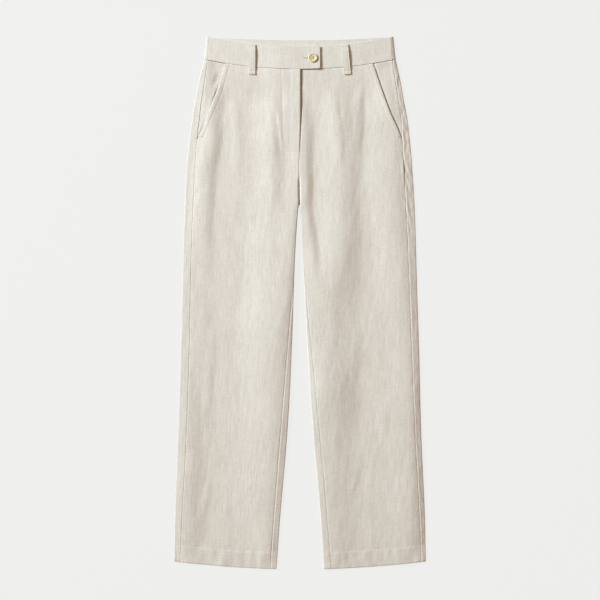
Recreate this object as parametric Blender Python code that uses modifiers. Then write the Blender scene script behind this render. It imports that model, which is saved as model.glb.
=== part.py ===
"""Tailored linen trousers, laid flat on their back. Metres, +Z up, the waist towards +Y.

The garment lies as cut pieces of cloth, each a thin wall with its own thickness. Places on the
cloth are given in millimetres, as x, across from the centre front, and drop, down from the top of
the waistband. The wearer's right is at -X. The back panels lie on the ground, roll up round the
leg's edges and meet the front panels at the side seam and the inseam, on the upper face.
"""

import math
from collections import namedtuple

import bmesh
import bpy

MM = 0.001

# Lengths down the garment, in millimetres
LENGTH = 1066.0  # top of the back waistband to the hems
MIDDLE_DROP = 532.7  # halfway down the finished garment, at Y = 0
BAND_DEPTH = 45.0
CROTCH = 335.0
CURL_START = 341.0  # the back panels begin to curl up round the inner edges
CURL_END = 359.0
FLY_END = 230.0
POCKET_END = 203.0
HEM_RISE = 16.0  # the hem is this much higher at the side seam than at the inseam
FRONT_DIP = 19.8  # the front waist seam is this much lower at the centre than at the sides
BACK_DIP = 7.2

# Walls and gaps
CLOTH = 1.2
FACING_CLOTH = 1.0
BAND_CLOTH = 2.4
LOOP_CLOTH = 1.5
SEAM_GAP = 0.3

# Heights of the middle of each layer
BACK_LEVEL = CLOTH / 2
REST_LEVEL = 2.2  # the upper layer, where no fold lifts it
EDGE_LEVEL = 2.0  # the cloth, where it turns round a leg's edge
SEAM_CREST = 1.2  # the right leg rises this much towards its side seam,
LOW_CREST = 1.5  # and this much more from the thigh down
CREST_REACH = 66.0
CROTCH_DIP = 0.8
FLAT_REACH = 36.0
BACK_BAND_LEVEL = LOOP_CLOTH + SEAM_GAP + BAND_CLOTH / 2
FRONT_BAND_LEVEL = BACK_BAND_LEVEL + 3.0
WAIST_EASE_END = 130.0  # below this drop the lift of the waistband has died away
LAYER_STEP = CLOTH + SEAM_GAP
FACING_STEP = 1.65  # the pocket facing lies this much below the front panel

# The fly: the wearer's right front laps over the left
FLY_WIDTH = 34.0
FLY_SLOPE = 60.0  # the lap climbs over the layer below it within this width
BAND_LAP = BAND_CLOTH + SEAM_GAP
CLOTH_LAP = 1.8
UNDERLAP_SEAM = 4.0  # the left front ends this far inside the lap
CENTRE_TOP_X = 1.5
CENTRE_LOW_X = -1.0

# The tab and its button
TAB_END_X = 40.0
BUTTON_X = 25.4
BUTTON_DROP = 42.8
BUTTON_RADIUS = 9.5
BUTTON_THICKNESS = 3.2
BUTTON_HOLE_RADIUS = 0.9
BUTTON_HOLE_SPREAD = 1.75

# Pockets
FACING_UNDER_FRONT = 22.0  # at the most
FACING_UNDER_BACK = 2.0
FACING_END = 219.0

# Belt loops
LOOP_WIDTH = 14.0
LOOP_START = 0.8
LOOP_END = 61.0
LOOP_BOW = 2.2
BACK_LOOP_X = 112.0

# The leg's edges and seams at each section: the wearer's right is on the -X side
Outer = namedtuple("Outer", "drop right_edge right_seam left_seam left_edge")
OUTER_SECTIONS = (
    Outer(0, -187, -182, 182, 187),
    Outer(45, -192, -185, 185, 192),
    Outer(87, -202, -191, 191, 201),
    Outer(127, -210, -197.4, 197.5, 208),
    Outer(167, -216, -202, 202.5, 215.5),
    Outer(207, -222, -206.4, 205, 220),
    Outer(247, -226, -209.2, 207.2, 223.8),
    Outer(327, -230, -213.2, 211.5, 229),
    Outer(407, -233, -216.6, 215.6, 232),
    Outer(487, -235, -218.6, 218.4, 234),
    Outer(647, -239, -221.8, 224.2, 239),
    Outer(807, -244, -227.2, 230.6, 243),
    Outer(967, -250, -235.2, 239, 250),
    Outer(1066, -252, -240, 243, 252),
)

# Below the crotch, the inner edges, and how far inside them the inseam lies on the upper face
Inner = namedtuple("Inner", "drop right_edge right_inset left_edge left_inset")
INNER_SECTIONS = (
    Inner(335, -1.2, 0.0, -0.8, 0.0),
    Inner(341, -2.5, 3.0, -0.2, 3.0),
    Inner(350, -4.1, 3.6, 0.8, 3.4),
    Inner(367, -5.6, 4.2, 2.0, 3.6),
    Inner(407, -8.0, 4.6, 4.0, 4.0),
    Inner(447, -10.2, 5.0, 6.0, 4.2),
    Inner(487, -11.6, 5.2, 7.8, 4.4),
    Inner(527, -12.9, 5.4, 9.7, 4.6),
    Inner(587, -14.8, 6.8, 12.6, 6.8),
    Inner(647, -17.2, 9.4, 16.2, 9.4),
    Inner(727, -21, 12.4, 20.8, 12.6),
    Inner(807, -26.2, 13.8, 27, 13.8),
    Inner(887, -33, 13.2, 34, 14.4),
    Inner(967, -40, 12.6, 41, 13.8),
    Inner(1066, -47, 12.2, 47, 16.4),
)

# How the upper layer falls to two of the edges: at once by a share of its height, then over a reach
EdgeForm = namedtuple("EdgeForm", "drop left_outer_turn left_outer_reach right_inner_turn right_inner_reach")
EDGE_FORMS = (
    EdgeForm(45, 0.35, 40, 0.86, 12),
    EdgeForm(330, 0.35, 40, 0.86, 12),
    EdgeForm(450, 0.35, 40, 0.82, 14),
    EdgeForm(520, 0.35, 40, 0.66, 20),
    EdgeForm(600, 0.38, 34, 0.36, 38),
    EdgeForm(690, 0.40, 26, 0.26, 42),
    EdgeForm(770, 0.40, 24, 0.22, 40),
    EdgeForm(900, 0.34, 28, 0.12, 34),
    EdgeForm(1066, 0.28, 34, 0.10, 32),
)
LEFT_INNER_TURN = 0.68

# The slanted pocket openings
PocketPoint = namedtuple("PocketPoint", "drop right_x left_x")
POCKET_LINE = (
    PocketPoint(45, -149, 146),
    PocketPoint(105, -166, 165),
    PocketPoint(150, -183.5, 181),
    PocketPoint(180, -195, 194.5),
    PocketPoint(203, -204.6, 203.4),
)

# The largest folds: a crest through three places down the leg
Fold = namedtuple("Fold", "start end x_start x_middle x_end left right height fade")
RIGHT_FOLDS = (
    Fold(20, 520, 2, 7, 30, 100, 22, 4.0, 0.25),
    Fold(-40, 500, -160, -183, -200, 34, 26, 3.6, 0.35),
    Fold(40, 370, -55, -53, -54, 50, 24, 2.5, 0.3),
    Fold(200, 760, -34, -36, -50, 104, 46, 3.0, 0.3),
    Fold(260, 1150, -36, -56, -84, 128, 110, 6.0, 0.38),
    Fold(840, 1200, -230, -224, -216, 30, 34, 1.8, 0.3),
)
LEFT_FOLDS = (
    Fold(0, 210, 4, 6, 8, 100, 70, 2.4, 0.45),
    Fold(110, 520, 9, 11, 30, 100, 20, 3.9, 0.25),
    Fold(-30, 560, 60, 84, 72, 54, 46, 4.6, 0.25),
    Fold(350, 860, 60, 52, 56, 100, 78, 5.2, 0.32),
    Fold(560, 1300, 46, 50, 44, 100, 72, 3.6, 0.3),
    Fold(-60, 600, 180, 185, 212, 60, 60, 4.8, 0.3),
    Fold(340, 1300, 204, 212, 222, 110, 90, 3.6, 0.3),
    Fold(50, 250, 119, 119, 118, 20, 12, 1.8, 0.3),
)
HEM_CALM = 0.45  # the folds lose this share of their height towards the hem

# Rows of the panels, zone by zone
Zone = namedtuple("Zone", "start end rows")
PANEL_ZONES = (
    Zone(BAND_DEPTH + SEAM_GAP, 110.0, 4),
    Zone(110.0, POCKET_END, 4),
    Zone(POCKET_END, FLY_END + 5.0, 2),
    Zone(FLY_END + 5.0, CROTCH, 5),
    Zone(CROTCH, CURL_END, 4),
    Zone(CURL_END, LENGTH, 21),
)
BAND_ZONES = (Zone(0.0, BAND_DEPTH, 2),)
FACING_ZONES = (
    Zone(BAND_DEPTH + 1.0, 110.0, 4),
    Zone(110.0, POCKET_END, 4),
    Zone(POCKET_END, FACING_END, 1),
)
FLY_ZONES = (Zone(BAND_DEPTH + SEAM_GAP, FLY_END - 18.0, 8),)
FRONT_COLUMNS = 14
ROLL_COLUMNS = 6
WRAP_COLUMNS = 7
WRAP_LEAD = 6.0

LINEN_COLOUR = (0.72, 0.665, 0.59, 1.0)
BUTTON_COLOUR = (0.80, 0.71, 0.50, 1.0)
RIGHT = -1
LEFT = 1


def smooth_step(value, start, end):
    """0 before start, 1 after end, with no corner on the way."""
    share = min(max((value - start) / (end - start), 0.0), 1.0)
    return share * share * (3.0 - 2.0 * share)


def read_down(table, column, drop):
    """A column's value at this drop, on a smooth curve through the rows of the table."""
    last = len(table) - 1
    row = max(k for k in range(last) if k == 0 or table[k].drop <= drop)

    def slope(k):
        before, after = table[max(k - 1, 0)], table[min(k + 1, last)]
        return (getattr(after, column) - getattr(before, column)) / (after.drop - before.drop)

    above, below = table[row], table[row + 1]
    span = below.drop - above.drop
    t = min(max((drop - above.drop) / span, 0.0), 1.0)
    value = getattr(above, column) * (1 - t) ** 2 * (1 + 2 * t)
    value += getattr(below, column) * t * t * (3 - 2 * t)
    value += slope(row) * span * t * (1 - t) ** 2
    return value - slope(row + 1) * span * t * t * (1 - t)


def side_name(side):
    return "right" if side == RIGHT else "left"


def outer_edge(side, drop):
    return read_down(OUTER_SECTIONS, side_name(side) + "_edge", drop)


def side_seam(side, drop):
    return read_down(OUTER_SECTIONS, side_name(side) + "_seam", drop)


def inner_edge(side, drop):
    return read_down(INNER_SECTIONS, side_name(side) + "_edge", drop)


def inseam(side, drop):
    inset = read_down(INNER_SECTIONS, side_name(side) + "_inset", drop)
    return inner_edge(side, drop) + side * inset


def pocket_line(side, drop):
    return read_down(POCKET_LINE, side_name(side) + "_x", drop)


def centre_line(drop):
    """The centre front and back seams, down to the crotch."""
    share = min(drop / CROTCH, 1.0)
    return CENTRE_TOP_X + (CENTRE_LOW_X - CENTRE_TOP_X) * share


def waist_lift(drop):
    """1 at the waist seam, dying away below it."""
    return 1.0 - smooth_step(drop, BAND_DEPTH, WAIST_EASE_END)


def back_level(drop):
    """Height of the middle of the lower layer, which the belt loops lift at the waist."""
    return BACK_LEVEL + (BACK_BAND_LEVEL - BACK_LEVEL) * waist_lift(drop)


def fold_height(fold, x, drop):
    """What one fold adds to the height of the upper layer here."""
    share = (drop - fold.start) / (fold.end - fold.start)
    if not 0.0 < share < 1.0:
        return 0.0
    bend = fold.x_middle - (fold.x_start + fold.x_end) / 2
    crest = fold.x_start + (fold.x_end - fold.x_start) * share + 4 * bend * share * (1 - share)
    reach = fold.right if x > crest else fold.left
    away = min(abs(x - crest) / reach, 1.0)
    fade = smooth_step(share, 0.0, fold.fade) * smooth_step(1.0 - share, 0.0, fold.fade)
    return fold.height * fade * (1.0 - away * away) ** 2


def edge_share(away, turn, reach):
    """The share of its height that the upper layer has so far inside an edge."""
    rise = min(max(away / reach, 0.0), 1.0)
    return turn + (1.0 - turn) * rise * (2.0 - rise)


def edge_shares(side, x, drop):
    """The share of its height that the leg's two edges leave the upper layer."""
    outer = abs(outer_edge(side, drop) - x) - CLOTH / 2
    inner = side * (x - inner_edge(side, drop)) - CLOTH / 2
    if side == RIGHT:
        turn = read_down(EDGE_FORMS, "right_inner_turn", drop)
        inner_share = edge_share(inner, turn, read_down(EDGE_FORMS, "right_inner_reach", drop))
        outer_share = 1.0
    else:
        turn = read_down(EDGE_FORMS, "left_outer_turn", drop)
        outer_share = edge_share(outer, turn, read_down(EDGE_FORMS, "left_outer_reach", drop))
        inner_share = edge_share(inner, LEFT_INNER_TURN, FLAT_REACH)
    parted = smooth_step(drop, CROTCH - 12.0, CROTCH + 14.0)
    return outer_share * (1.0 + parted * (inner_share - 1.0))


def least_level(side, x, drop):
    """The upper layer's least height: clear of the back panel and, by a pocket, of its facing."""
    reach = side * (x - pocket_line(side, min(drop, POCKET_END))) + FACING_UNDER_FRONT
    facing = smooth_step(reach, -16.0, -3.0) * (1.0 - smooth_step(drop, FACING_END + 2.0, FACING_END + 30.0))
    return back_level(drop) + LAYER_STEP + (FACING_STEP - 0.2) * facing


def upper_level(side, x, drop):
    """Height of the middle of the upper layer of cloth."""
    folds = sum(fold_height(fold, x, drop) for fold in (RIGHT_FOLDS if side == RIGHT else LEFT_FOLDS))
    if side == RIGHT:
        near_seam = 1.0 - smooth_step(x - side_seam(side, drop), 0.0, CREST_REACH)
        folds += near_seam * (SEAM_CREST + LOW_CREST * smooth_step(drop, 360.0, 560.0))
    level = REST_LEVEL + folds * (1.0 - HEM_CALM * smooth_step(drop, 1000.0, LENGTH))
    level -= CROTCH_DIP * (1.0 - smooth_step(math.hypot(x, drop - CROTCH), 10.0, 50.0))
    level = EDGE_LEVEL + (level - EDGE_LEVEL) * edge_shares(side, x, drop)
    level = max(level, least_level(side, x, drop))
    lift = waist_lift(drop)
    return level * (1.0 - lift) + FRONT_BAND_LEVEL * lift


def fly_lift(x, drop):
    """How far the right front rises to pass over the left at the centre front."""
    across = smooth_step(x, -FLY_WIDTH - FLY_SLOPE, -FLY_WIDTH)
    lap = CLOTH_LAP + (BAND_LAP - CLOTH_LAP) * waist_lift(drop)
    return lap * across * (1.0 - smooth_step(drop, FLY_END - 4.0, FLY_END + 24.0))


def garment_point(x, drop, height, dip):
    """A place on the cloth in metres. The waist seam dips towards the centre, the hem rises outwards."""
    half_width = abs(outer_edge(RIGHT if x < 0 else LEFT, max(drop, 0.0)))
    below_waist = 1.0 - smooth_step(drop, BAND_DEPTH, CROTCH)
    at_hem = smooth_step(drop, CROTCH, LENGTH)
    real_drop = drop + dip * (1.0 - (x / half_width) ** 2) * below_waist
    real_drop -= HEM_RISE * (abs(x) / half_width) ** 2 * at_hem
    return (x * MM, (MIDDLE_DROP - real_drop) * MM, height * MM)


def row_drops(zones):
    """The drop of every row of points, from the top of the first zone to the end of the last."""
    drops = [zones[0].start]
    for zone in zones:
        drops += [zone.start + (zone.end - zone.start) * k / zone.rows for k in range(1, zone.rows + 1)]
    return drops


def linen(name):
    material = bpy.data.materials.new(name)
    material.use_nodes = True
    surface = material.node_tree.nodes["Principled BSDF"]
    surface.inputs["Base Color"].default_value = LINEN_COLOUR
    surface.inputs["Roughness"].default_value = 0.9
    surface.inputs["Sheen Weight"].default_value = 0.15
    return material


def horn(name):
    material = bpy.data.materials.new(name)
    material.use_nodes = True
    surface = material.node_tree.nodes["Principled BSDF"]
    surface.inputs["Base Color"].default_value = BUTTON_COLOUR
    surface.inputs["Roughness"].default_value = 0.35
    return material


def add_cloth(name, rows, wall, parts):
    """A wall of cloth: a grid with a row of points for each list in rows, made solid both ways."""
    down = len(rows) - 1
    across = len(rows[0]) - 1
    shape = bmesh.new()
    bmesh.ops.create_grid(shape, x_segments=across, y_segments=down, size=0.5)
    for vertex in shape.verts:
        column = round((vertex.co.x + 0.5) * across)
        row = round((0.5 - vertex.co.y) * down)
        vertex.co = rows[row][column]
    mesh = bpy.data.meshes.new(name)
    shape.to_mesh(mesh)
    shape.free()
    piece = bpy.data.objects.new(name, mesh)
    parts.objects.link(piece)
    mesh.materials.append(linen(name + "_linen"))
    mesh.shade_smooth()
    thickness = piece.modifiers.new("wall", "SOLIDIFY")
    thickness.thickness = wall * MM
    thickness.offset = 0.0
    return piece


def front_outer_edge(side, drop):
    """The front panel ends at the pocket opening and, below it, at the side seam."""
    if drop < POCKET_END:
        return pocket_line(side, drop)
    return side_seam(side, drop) - side * SEAM_GAP / 2


def front_inner_edge(side, drop):
    """The front panel ends at the centre front and, below the crotch, at the inseam."""
    if drop > CROTCH:
        return inseam(side, drop) + side * SEAM_GAP / 2
    centre = centre_line(drop) + side * SEAM_GAP / 2
    if side == LEFT:
        centre -= UNDERLAP_SEAM * (1.0 - smooth_step(drop, FLY_END - 26.0, FLY_END))
    return centre


def front_columns(side, drop):
    """The x of each column of points across the front panel."""
    start = front_outer_edge(side, drop)
    end = front_inner_edge(side, drop)
    return [start + (end - start) * column / FRONT_COLUMNS for column in range(FRONT_COLUMNS + 1)]


def add_front(side, parts):
    rows = []
    for drop in row_drops(PANEL_ZONES):
        row = []
        for x in front_columns(side, drop):
            height = upper_level(side, x, drop)
            if side == RIGHT:
                height += fly_lift(x, drop)
            row.append(garment_point(x, drop, height, FRONT_DIP))
        rows.append(row)
    return add_cloth("front_" + side_name(side), rows, CLOTH, parts)


def roll(edge_x, side, low, high, wall, columns):
    """Half a turn of cloth round a leg's edge, from the upper layer to the lower, as (x, height)."""
    radius = (high - low) / 2
    centre_x = edge_x - side * (radius + wall / 2)
    points = []
    for k in range(columns + 1):
        angle = math.pi * k / columns
        points.append((centre_x + side * radius * math.sin(angle), low + radius * (1 + math.cos(angle))))
    return points


def inner_wrap(side, drop):
    """The back panel's last stretch: flat to the centre seam or, below the crotch, round the inner edge."""
    low = back_level(drop)
    if drop <= CROTCH:
        turn_x = centre_line(drop) + side * SEAM_GAP / 2
        radius = 1.0
        length = 0.0
    else:
        edge = inner_edge(side, drop)
        grown = min(max(drop - CURL_START, 0.0) / (CURL_END - CURL_START), 1.0)
        radius = (upper_level(side, edge + side * 2.5, drop) - low) / 2
        turn = radius + CLOTH / 2
        turn_x = edge + side * turn * min(grown * 2.0, 1.0)
        strip = abs(inseam(side, drop) - edge) - turn - SEAM_GAP / 2
        length = grown * (math.pi * radius + max(strip, 0.0))
    points = []
    for column in range(WRAP_COLUMNS + 1):
        cloth = -WRAP_LEAD + (length + WRAP_LEAD) * column / WRAP_COLUMNS
        if cloth <= 0.0:
            points.append((turn_x - side * cloth, low))
        elif cloth <= math.pi * radius:
            angle = cloth / radius
            points.append((turn_x - side * radius * math.sin(angle), low + radius * (1 - math.cos(angle))))
        else:
            x = turn_x + side * (cloth - math.pi * radius)
            points.append((x, upper_level(side, x, drop)))
    return points


def add_back(side, parts):
    """A back panel, from the side seam on the upper face, round the outer edge, to its inner end."""
    rows = []
    for drop in row_drops(PANEL_ZONES):
        seam_x = side_seam(side, drop) + side * SEAM_GAP / 2
        edge = outer_edge(side, drop)
        high = upper_level(side, edge - side * 2.5, drop)
        path = [(seam_x, upper_level(side, seam_x, drop))]
        path += roll(edge, side, back_level(drop), high, CLOTH, ROLL_COLUMNS)
        wrap = inner_wrap(side, drop)
        start_x = path[-1][0]
        for share in (0.3, 0.7):
            path.append((start_x + (wrap[0][0] - start_x) * share, back_level(drop)))
        path += wrap
        dip = BACK_DIP
        rows.append([garment_point(x, drop, height, dip) for x, height in path])
    return add_cloth("back_" + side_name(side), rows, CLOTH, parts)


def add_pocket_facing(side, parts):
    """The side piece that shows inside the slanted opening. It runs on under the front, parallel to it."""
    rows = []
    for drop in row_drops(FACING_ZONES):
        seam_x = side_seam(side, drop) + side * FACING_UNDER_BACK
        front = front_columns(side, drop)
        points = [(x, upper_level(side, x, drop)) for x in (seam_x, (seam_x + front[0]) / 2, front[0], front[1], front[2])]
        (x, height), (next_x, next_height) = points[-2:]
        points[-1] = ((x + next_x) / 2, (height + next_height) / 2)
        rows.append([garment_point(x, drop, height - FACING_STEP, FRONT_DIP) for x, height in points])
    return add_cloth("pocket_facing_" + side_name(side), rows, FACING_CLOTH, parts)


def add_fly_underlap(parts):
    """The strip sewn to the left front's edge, which lies under the right front's fly."""
    rows = []
    for drop in row_drops(FLY_ZONES):
        end = centre_line(drop) - UNDERLAP_SEAM - SEAM_GAP / 2
        start = end - FLY_WIDTH + UNDERLAP_SEAM
        row = []
        for share in (0.0, 0.5, 1.0):
            x = start + (end - start) * share
            row.append(garment_point(x, drop, upper_level(RIGHT, x, drop), FRONT_DIP))
        rows.append(row)
    return add_cloth("fly_underlap", rows, CLOTH, parts)


def front_band_level(side, x):
    lap = fly_lift(x, BAND_DEPTH) if side == RIGHT else 0.0
    return FRONT_BAND_LEVEL + lap


def add_front_band(side, parts):
    """Half the front waistband. The right half ends in the tab, the left runs on under it."""
    end = TAB_END_X if side == RIGHT else centre_line(0.0) - FLY_WIDTH
    columns = 18
    rows = []
    for drop in row_drops(BAND_ZONES):
        start = side_seam(side, drop) - side * SEAM_GAP / 2
        row = []
        for column in range(columns + 1):
            x = start + (end - start) * column / columns
            row.append(garment_point(x, drop, front_band_level(side, x), FRONT_DIP))
        rows.append(row)
    return add_cloth("waistband_" + side_name(side), rows, BAND_CLOTH, parts)


def add_back_band(parts):
    """The back waistband: under the front one, and round both sides to the side seams."""
    columns = 14
    rows = []
    for drop in row_drops(BAND_ZONES):
        turns = {}
        for side in (RIGHT, LEFT):
            seam_x = side_seam(side, drop) + side * SEAM_GAP / 2
            turn = roll(outer_edge(side, drop), side, BACK_BAND_LEVEL, FRONT_BAND_LEVEL, BAND_CLOTH, ROLL_COLUMNS)
            turns[side] = [(seam_x, FRONT_BAND_LEVEL)] + turn
        start = turns[RIGHT][-1][0]
        end = turns[LEFT][-1][0]
        flat = [(start + (end - start) * k / columns, BACK_BAND_LEVEL) for k in range(1, columns)]
        path = turns[RIGHT] + flat + turns[LEFT][::-1]
        rows.append([garment_point(x, drop, height, BACK_DIP) for x, height in path])
    return add_cloth("waistband_back", rows, BAND_CLOTH, parts)


LoopPlace = namedtuple("LoopPlace", "name top_x bottom_x in_front")
LOOPS = (
    LoopPlace("belt_loop_front_right", -96.0, -96.0, True),
    LoopPlace("belt_loop_front_left", 89.0, 95.0, True),
    LoopPlace("belt_loop_back_right", -BACK_LOOP_X, -BACK_LOOP_X, False),
    LoopPlace("belt_loop_back_centre", 0.0, 0.0, False),
    LoopPlace("belt_loop_back_left", BACK_LOOP_X, BACK_LOOP_X, False),
)


def front_loop_height(x, drop):
    """The loop's middle: on the waistband at the top, on the front panel at its lower end."""
    on_band = FRONT_BAND_LEVEL + BAND_CLOTH / 2
    on_panel = upper_level(RIGHT if x < 0 else LEFT, x, max(drop, BAND_DEPTH)) + CLOTH / 2
    base = on_band + (on_panel - on_band) * smooth_step(drop, BAND_DEPTH + 2.0, LOOP_END - 4.0)
    bow = LOOP_BOW * smooth_step(drop, LOOP_START, 14.0) * (1.0 - smooth_step(drop, 42.0, LOOP_END - 3.0))
    return base + bow + SEAM_GAP + LOOP_CLOTH / 2


def add_belt_loop(place, parts):
    rows = []
    for k in range(13):
        share = k / 12
        drop = LOOP_START + (LOOP_END - LOOP_START) * share
        middle = place.top_x + (place.bottom_x - place.top_x) * share
        row = []
        for across in (-0.5, 0.0, 0.5):
            x = middle + LOOP_WIDTH * across
            height = front_loop_height(middle, drop) if place.in_front else LOOP_CLOTH / 2
            row.append(garment_point(x, drop, height, FRONT_DIP if place.in_front else BACK_DIP))
        rows.append(row)
    return add_cloth(place.name, rows, LOOP_CLOTH, parts)


def add_turned(name, profile, steps, collection):
    """A turned solid round Z from (radius, height) points, down its outer side."""
    mesh = bpy.data.meshes.new(name)
    shape = bmesh.new()
    points = [shape.verts.new((radius * MM, 0.0, height * MM)) for radius, height in profile]
    for start, end in zip(points, points[1:]):
        shape.edges.new((start, end))
    shape.to_mesh(mesh)
    shape.free()
    piece = bpy.data.objects.new(name, mesh)
    collection.objects.link(piece)
    turn = piece.modifiers.new("turn", "SCREW")
    turn.steps = steps
    turn.render_steps = steps
    turn.use_merge_vertices = True
    turn.merge_threshold = 0.00001
    return piece


def add_button(parts, cutters):
    """A four-hole button with a rounded rim and a dished face."""
    half = BUTTON_THICKNESS / 2
    profile = (
        (0.0, half - 1.0),
        (BUTTON_RADIUS * 0.60, half - 0.9),
        (BUTTON_RADIUS * 0.74, half - 0.2),
        (BUTTON_RADIUS * 0.84, half),
        (BUTTON_RADIUS * 0.95, half - 0.4),
        (BUTTON_RADIUS, half - 1.3),
        (BUTTON_RADIUS * 0.93, 0.6 - half),
        (BUTTON_RADIUS * 0.75, -half),
        (0.0, -half),
    )
    button = add_turned("button", profile, 28, parts)
    tab_top = front_band_level(RIGHT, BUTTON_X) + BAND_CLOTH / 2
    height = tab_top + SEAM_GAP + half
    button.location = (BUTTON_X * MM, (MIDDLE_DROP - BUTTON_DROP) * MM, height * MM)
    button.data.materials.append(horn("button_horn"))
    for quarter in range(4):
        angle = math.pi / 4 + quarter * math.pi / 2
        reach = BUTTON_HOLE_SPREAD * math.sqrt(2.0) * MM
        shape = bmesh.new()
        bmesh.ops.create_cone(
            shape, cap_ends=True, segments=10, depth=3 * BUTTON_THICKNESS * MM,
            radius1=BUTTON_HOLE_RADIUS * MM, radius2=BUTTON_HOLE_RADIUS * MM,
        )
        mesh = bpy.data.meshes.new("button_hole_%d" % quarter)
        shape.to_mesh(mesh)
        shape.free()
        cutter = bpy.data.objects.new(mesh.name, mesh)
        cutters.objects.link(cutter)
        cutter.location = button.location
        cutter.location.x += reach * math.cos(angle)
        cutter.location.y += reach * math.sin(angle)
        cutter.hide_render = True
        cutter.display_type = "WIRE"
        cut = button.modifiers.new("hole", "BOOLEAN")
        cut.object = cutter
        cut.operation = "DIFFERENCE"
    return button


def new_collection(name):
    collection = bpy.data.collections.new(name)
    bpy.context.scene.collection.children.link(collection)
    return collection


def main():
    for obj in list(bpy.data.objects):
        bpy.data.objects.remove(obj, do_unlink=True)
    parts = new_collection("tailored_trousers")
    cutters = new_collection("cutters")
    for side in (RIGHT, LEFT):
        add_back(side, parts)
        add_front(side, parts)
        add_pocket_facing(side, parts)
        add_front_band(side, parts)
    add_fly_underlap(parts)
    add_back_band(parts)
    for place in LOOPS:
        add_belt_loop(place, parts)
    add_button(parts, cutters)


main()
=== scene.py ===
"""Tailored linen trousers, laid flat on their back on a pale floor.

Each piece of cloth is drawn in pattern places, in millimetres: x across from the centre front, and
drop down from the top of the back waistband. The lay gives the height of the cloth at each place,
and each sub-assembly cuts its pieces from the pattern and lays them. The wearer's right is at -X.
"""

import logging
import math
from dataclasses import dataclass, field
from enum import Enum
from typing import NamedTuple, Sequence

import bmesh
import bpy
import numpy as np
from mathutils import Matrix, Vector


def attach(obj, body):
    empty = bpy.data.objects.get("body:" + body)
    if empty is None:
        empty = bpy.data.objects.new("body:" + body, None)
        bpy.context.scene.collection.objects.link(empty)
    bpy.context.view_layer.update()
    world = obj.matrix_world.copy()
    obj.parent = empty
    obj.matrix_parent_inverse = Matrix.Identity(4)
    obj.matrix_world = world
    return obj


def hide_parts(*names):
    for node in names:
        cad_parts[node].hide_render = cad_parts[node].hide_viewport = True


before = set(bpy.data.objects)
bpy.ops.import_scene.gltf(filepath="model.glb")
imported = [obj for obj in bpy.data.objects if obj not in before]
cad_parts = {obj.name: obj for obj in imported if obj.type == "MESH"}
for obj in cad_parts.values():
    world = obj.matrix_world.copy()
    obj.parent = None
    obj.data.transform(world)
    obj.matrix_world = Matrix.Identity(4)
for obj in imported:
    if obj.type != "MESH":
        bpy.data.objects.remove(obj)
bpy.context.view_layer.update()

LOG = logging.getLogger("trousers")
Field = np.ndarray
MM = 0.001
BODY = "root"
UV_SPAN = 1.2  # metres of cloth that one unit of the cloth's UV map spans
UV_START = 300.0  # millimetres from the UV map's edge to the centre front
STITCH_SEAT = 0.08  # millimetres from the face of the cloth to the middle of a stitch


class Side(Enum):
    """A leg, by the wearer's side of it."""

    RIGHT = -1
    LEFT = 1

    @property
    def label(self) -> str:
        """The side's word in the names of pieces."""
        return self.name.lower()


class Slot(Enum):
    """The record's material slots."""

    LINEN = "linen"
    BUTTON = "button"


class Outer(NamedTuple):
    """The outer edges and the side seams at one drop, in millimetres."""

    drop: float
    right_edge: float
    right_seam: float
    left_seam: float
    left_edge: float


class Inner(NamedTuple):
    """The legs' inner edges, and how far inside them the inseams show, in millimetres."""

    drop: float
    right_edge: float
    right_inset: float
    left_edge: float
    left_inset: float


class PocketPoint(NamedTuple):
    """Where the slanted pocket openings pass one drop, in millimetres."""

    drop: float
    right_x: float
    left_x: float


class CentrePoint(NamedTuple):
    """Where the centre seams and the fly's edge pass one drop, in millimetres."""

    drop: float
    x: float


class EdgeForm(NamedTuple):
    """How the two edges that face the wearer's left fall to the floor at one drop.

    Each has the share of its height that the last sharp turn takes, and the reach of its long fall.
    """

    drop: float
    left_outer_turn: float
    left_outer_reach: float
    right_inner_turn: float
    right_inner_reach: float


OUTER_SECTIONS = (
    Outer(0, -187, -182, 182, 187),
    Outer(45, -192, -185, 185, 192),
    Outer(87, -202, -191, 191, 201),
    Outer(127, -210, -197.4, 197.5, 208),
    Outer(167, -216, -202, 202.5, 215.5),
    Outer(207, -222, -206.4, 205, 220),
    Outer(247, -226, -209.2, 207.2, 223.8),
    Outer(327, -230, -213.2, 211.5, 229),
    Outer(407, -233, -216.6, 215.6, 232),
    Outer(487, -235, -218.6, 218.4, 234),
    Outer(647, -239, -221.8, 224.2, 239),
    Outer(807, -244, -227.2, 230.6, 243),
    Outer(967, -250, -235.2, 239, 250),
    Outer(1066, -252, -240, 243, 252),
)

INNER_SECTIONS = (
    Inner(335, -1.2, 0.0, -0.8, 0.0),
    Inner(341, -2.6, 0.5, -0.1, 0.5),
    Inner(347, -3.8, 0.7, 0.6, 0.7),
    Inner(367, -5.4, 0.9, 2.0, 0.9),
    Inner(407, -8.0, 1.1, 4.0, 1.1),
    Inner(447, -10.2, 1.3, 6.0, 1.3),
    Inner(487, -11.6, 1.6, 7.8, 1.8),
    Inner(527, -12.9, 3.6, 9.7, 3.6),
    Inner(587, -14.8, 6.8, 12.6, 6.8),
    Inner(647, -17.2, 9.4, 16.2, 9.4),
    Inner(727, -21, 12.4, 20.8, 12.6),
    Inner(807, -26.2, 13.8, 27, 13.8),
    Inner(887, -33, 13.2, 34, 14.4),
    Inner(967, -40, 12.6, 41, 13.8),
    Inner(1066, -47, 12.2, 47, 16.4),
)

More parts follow.
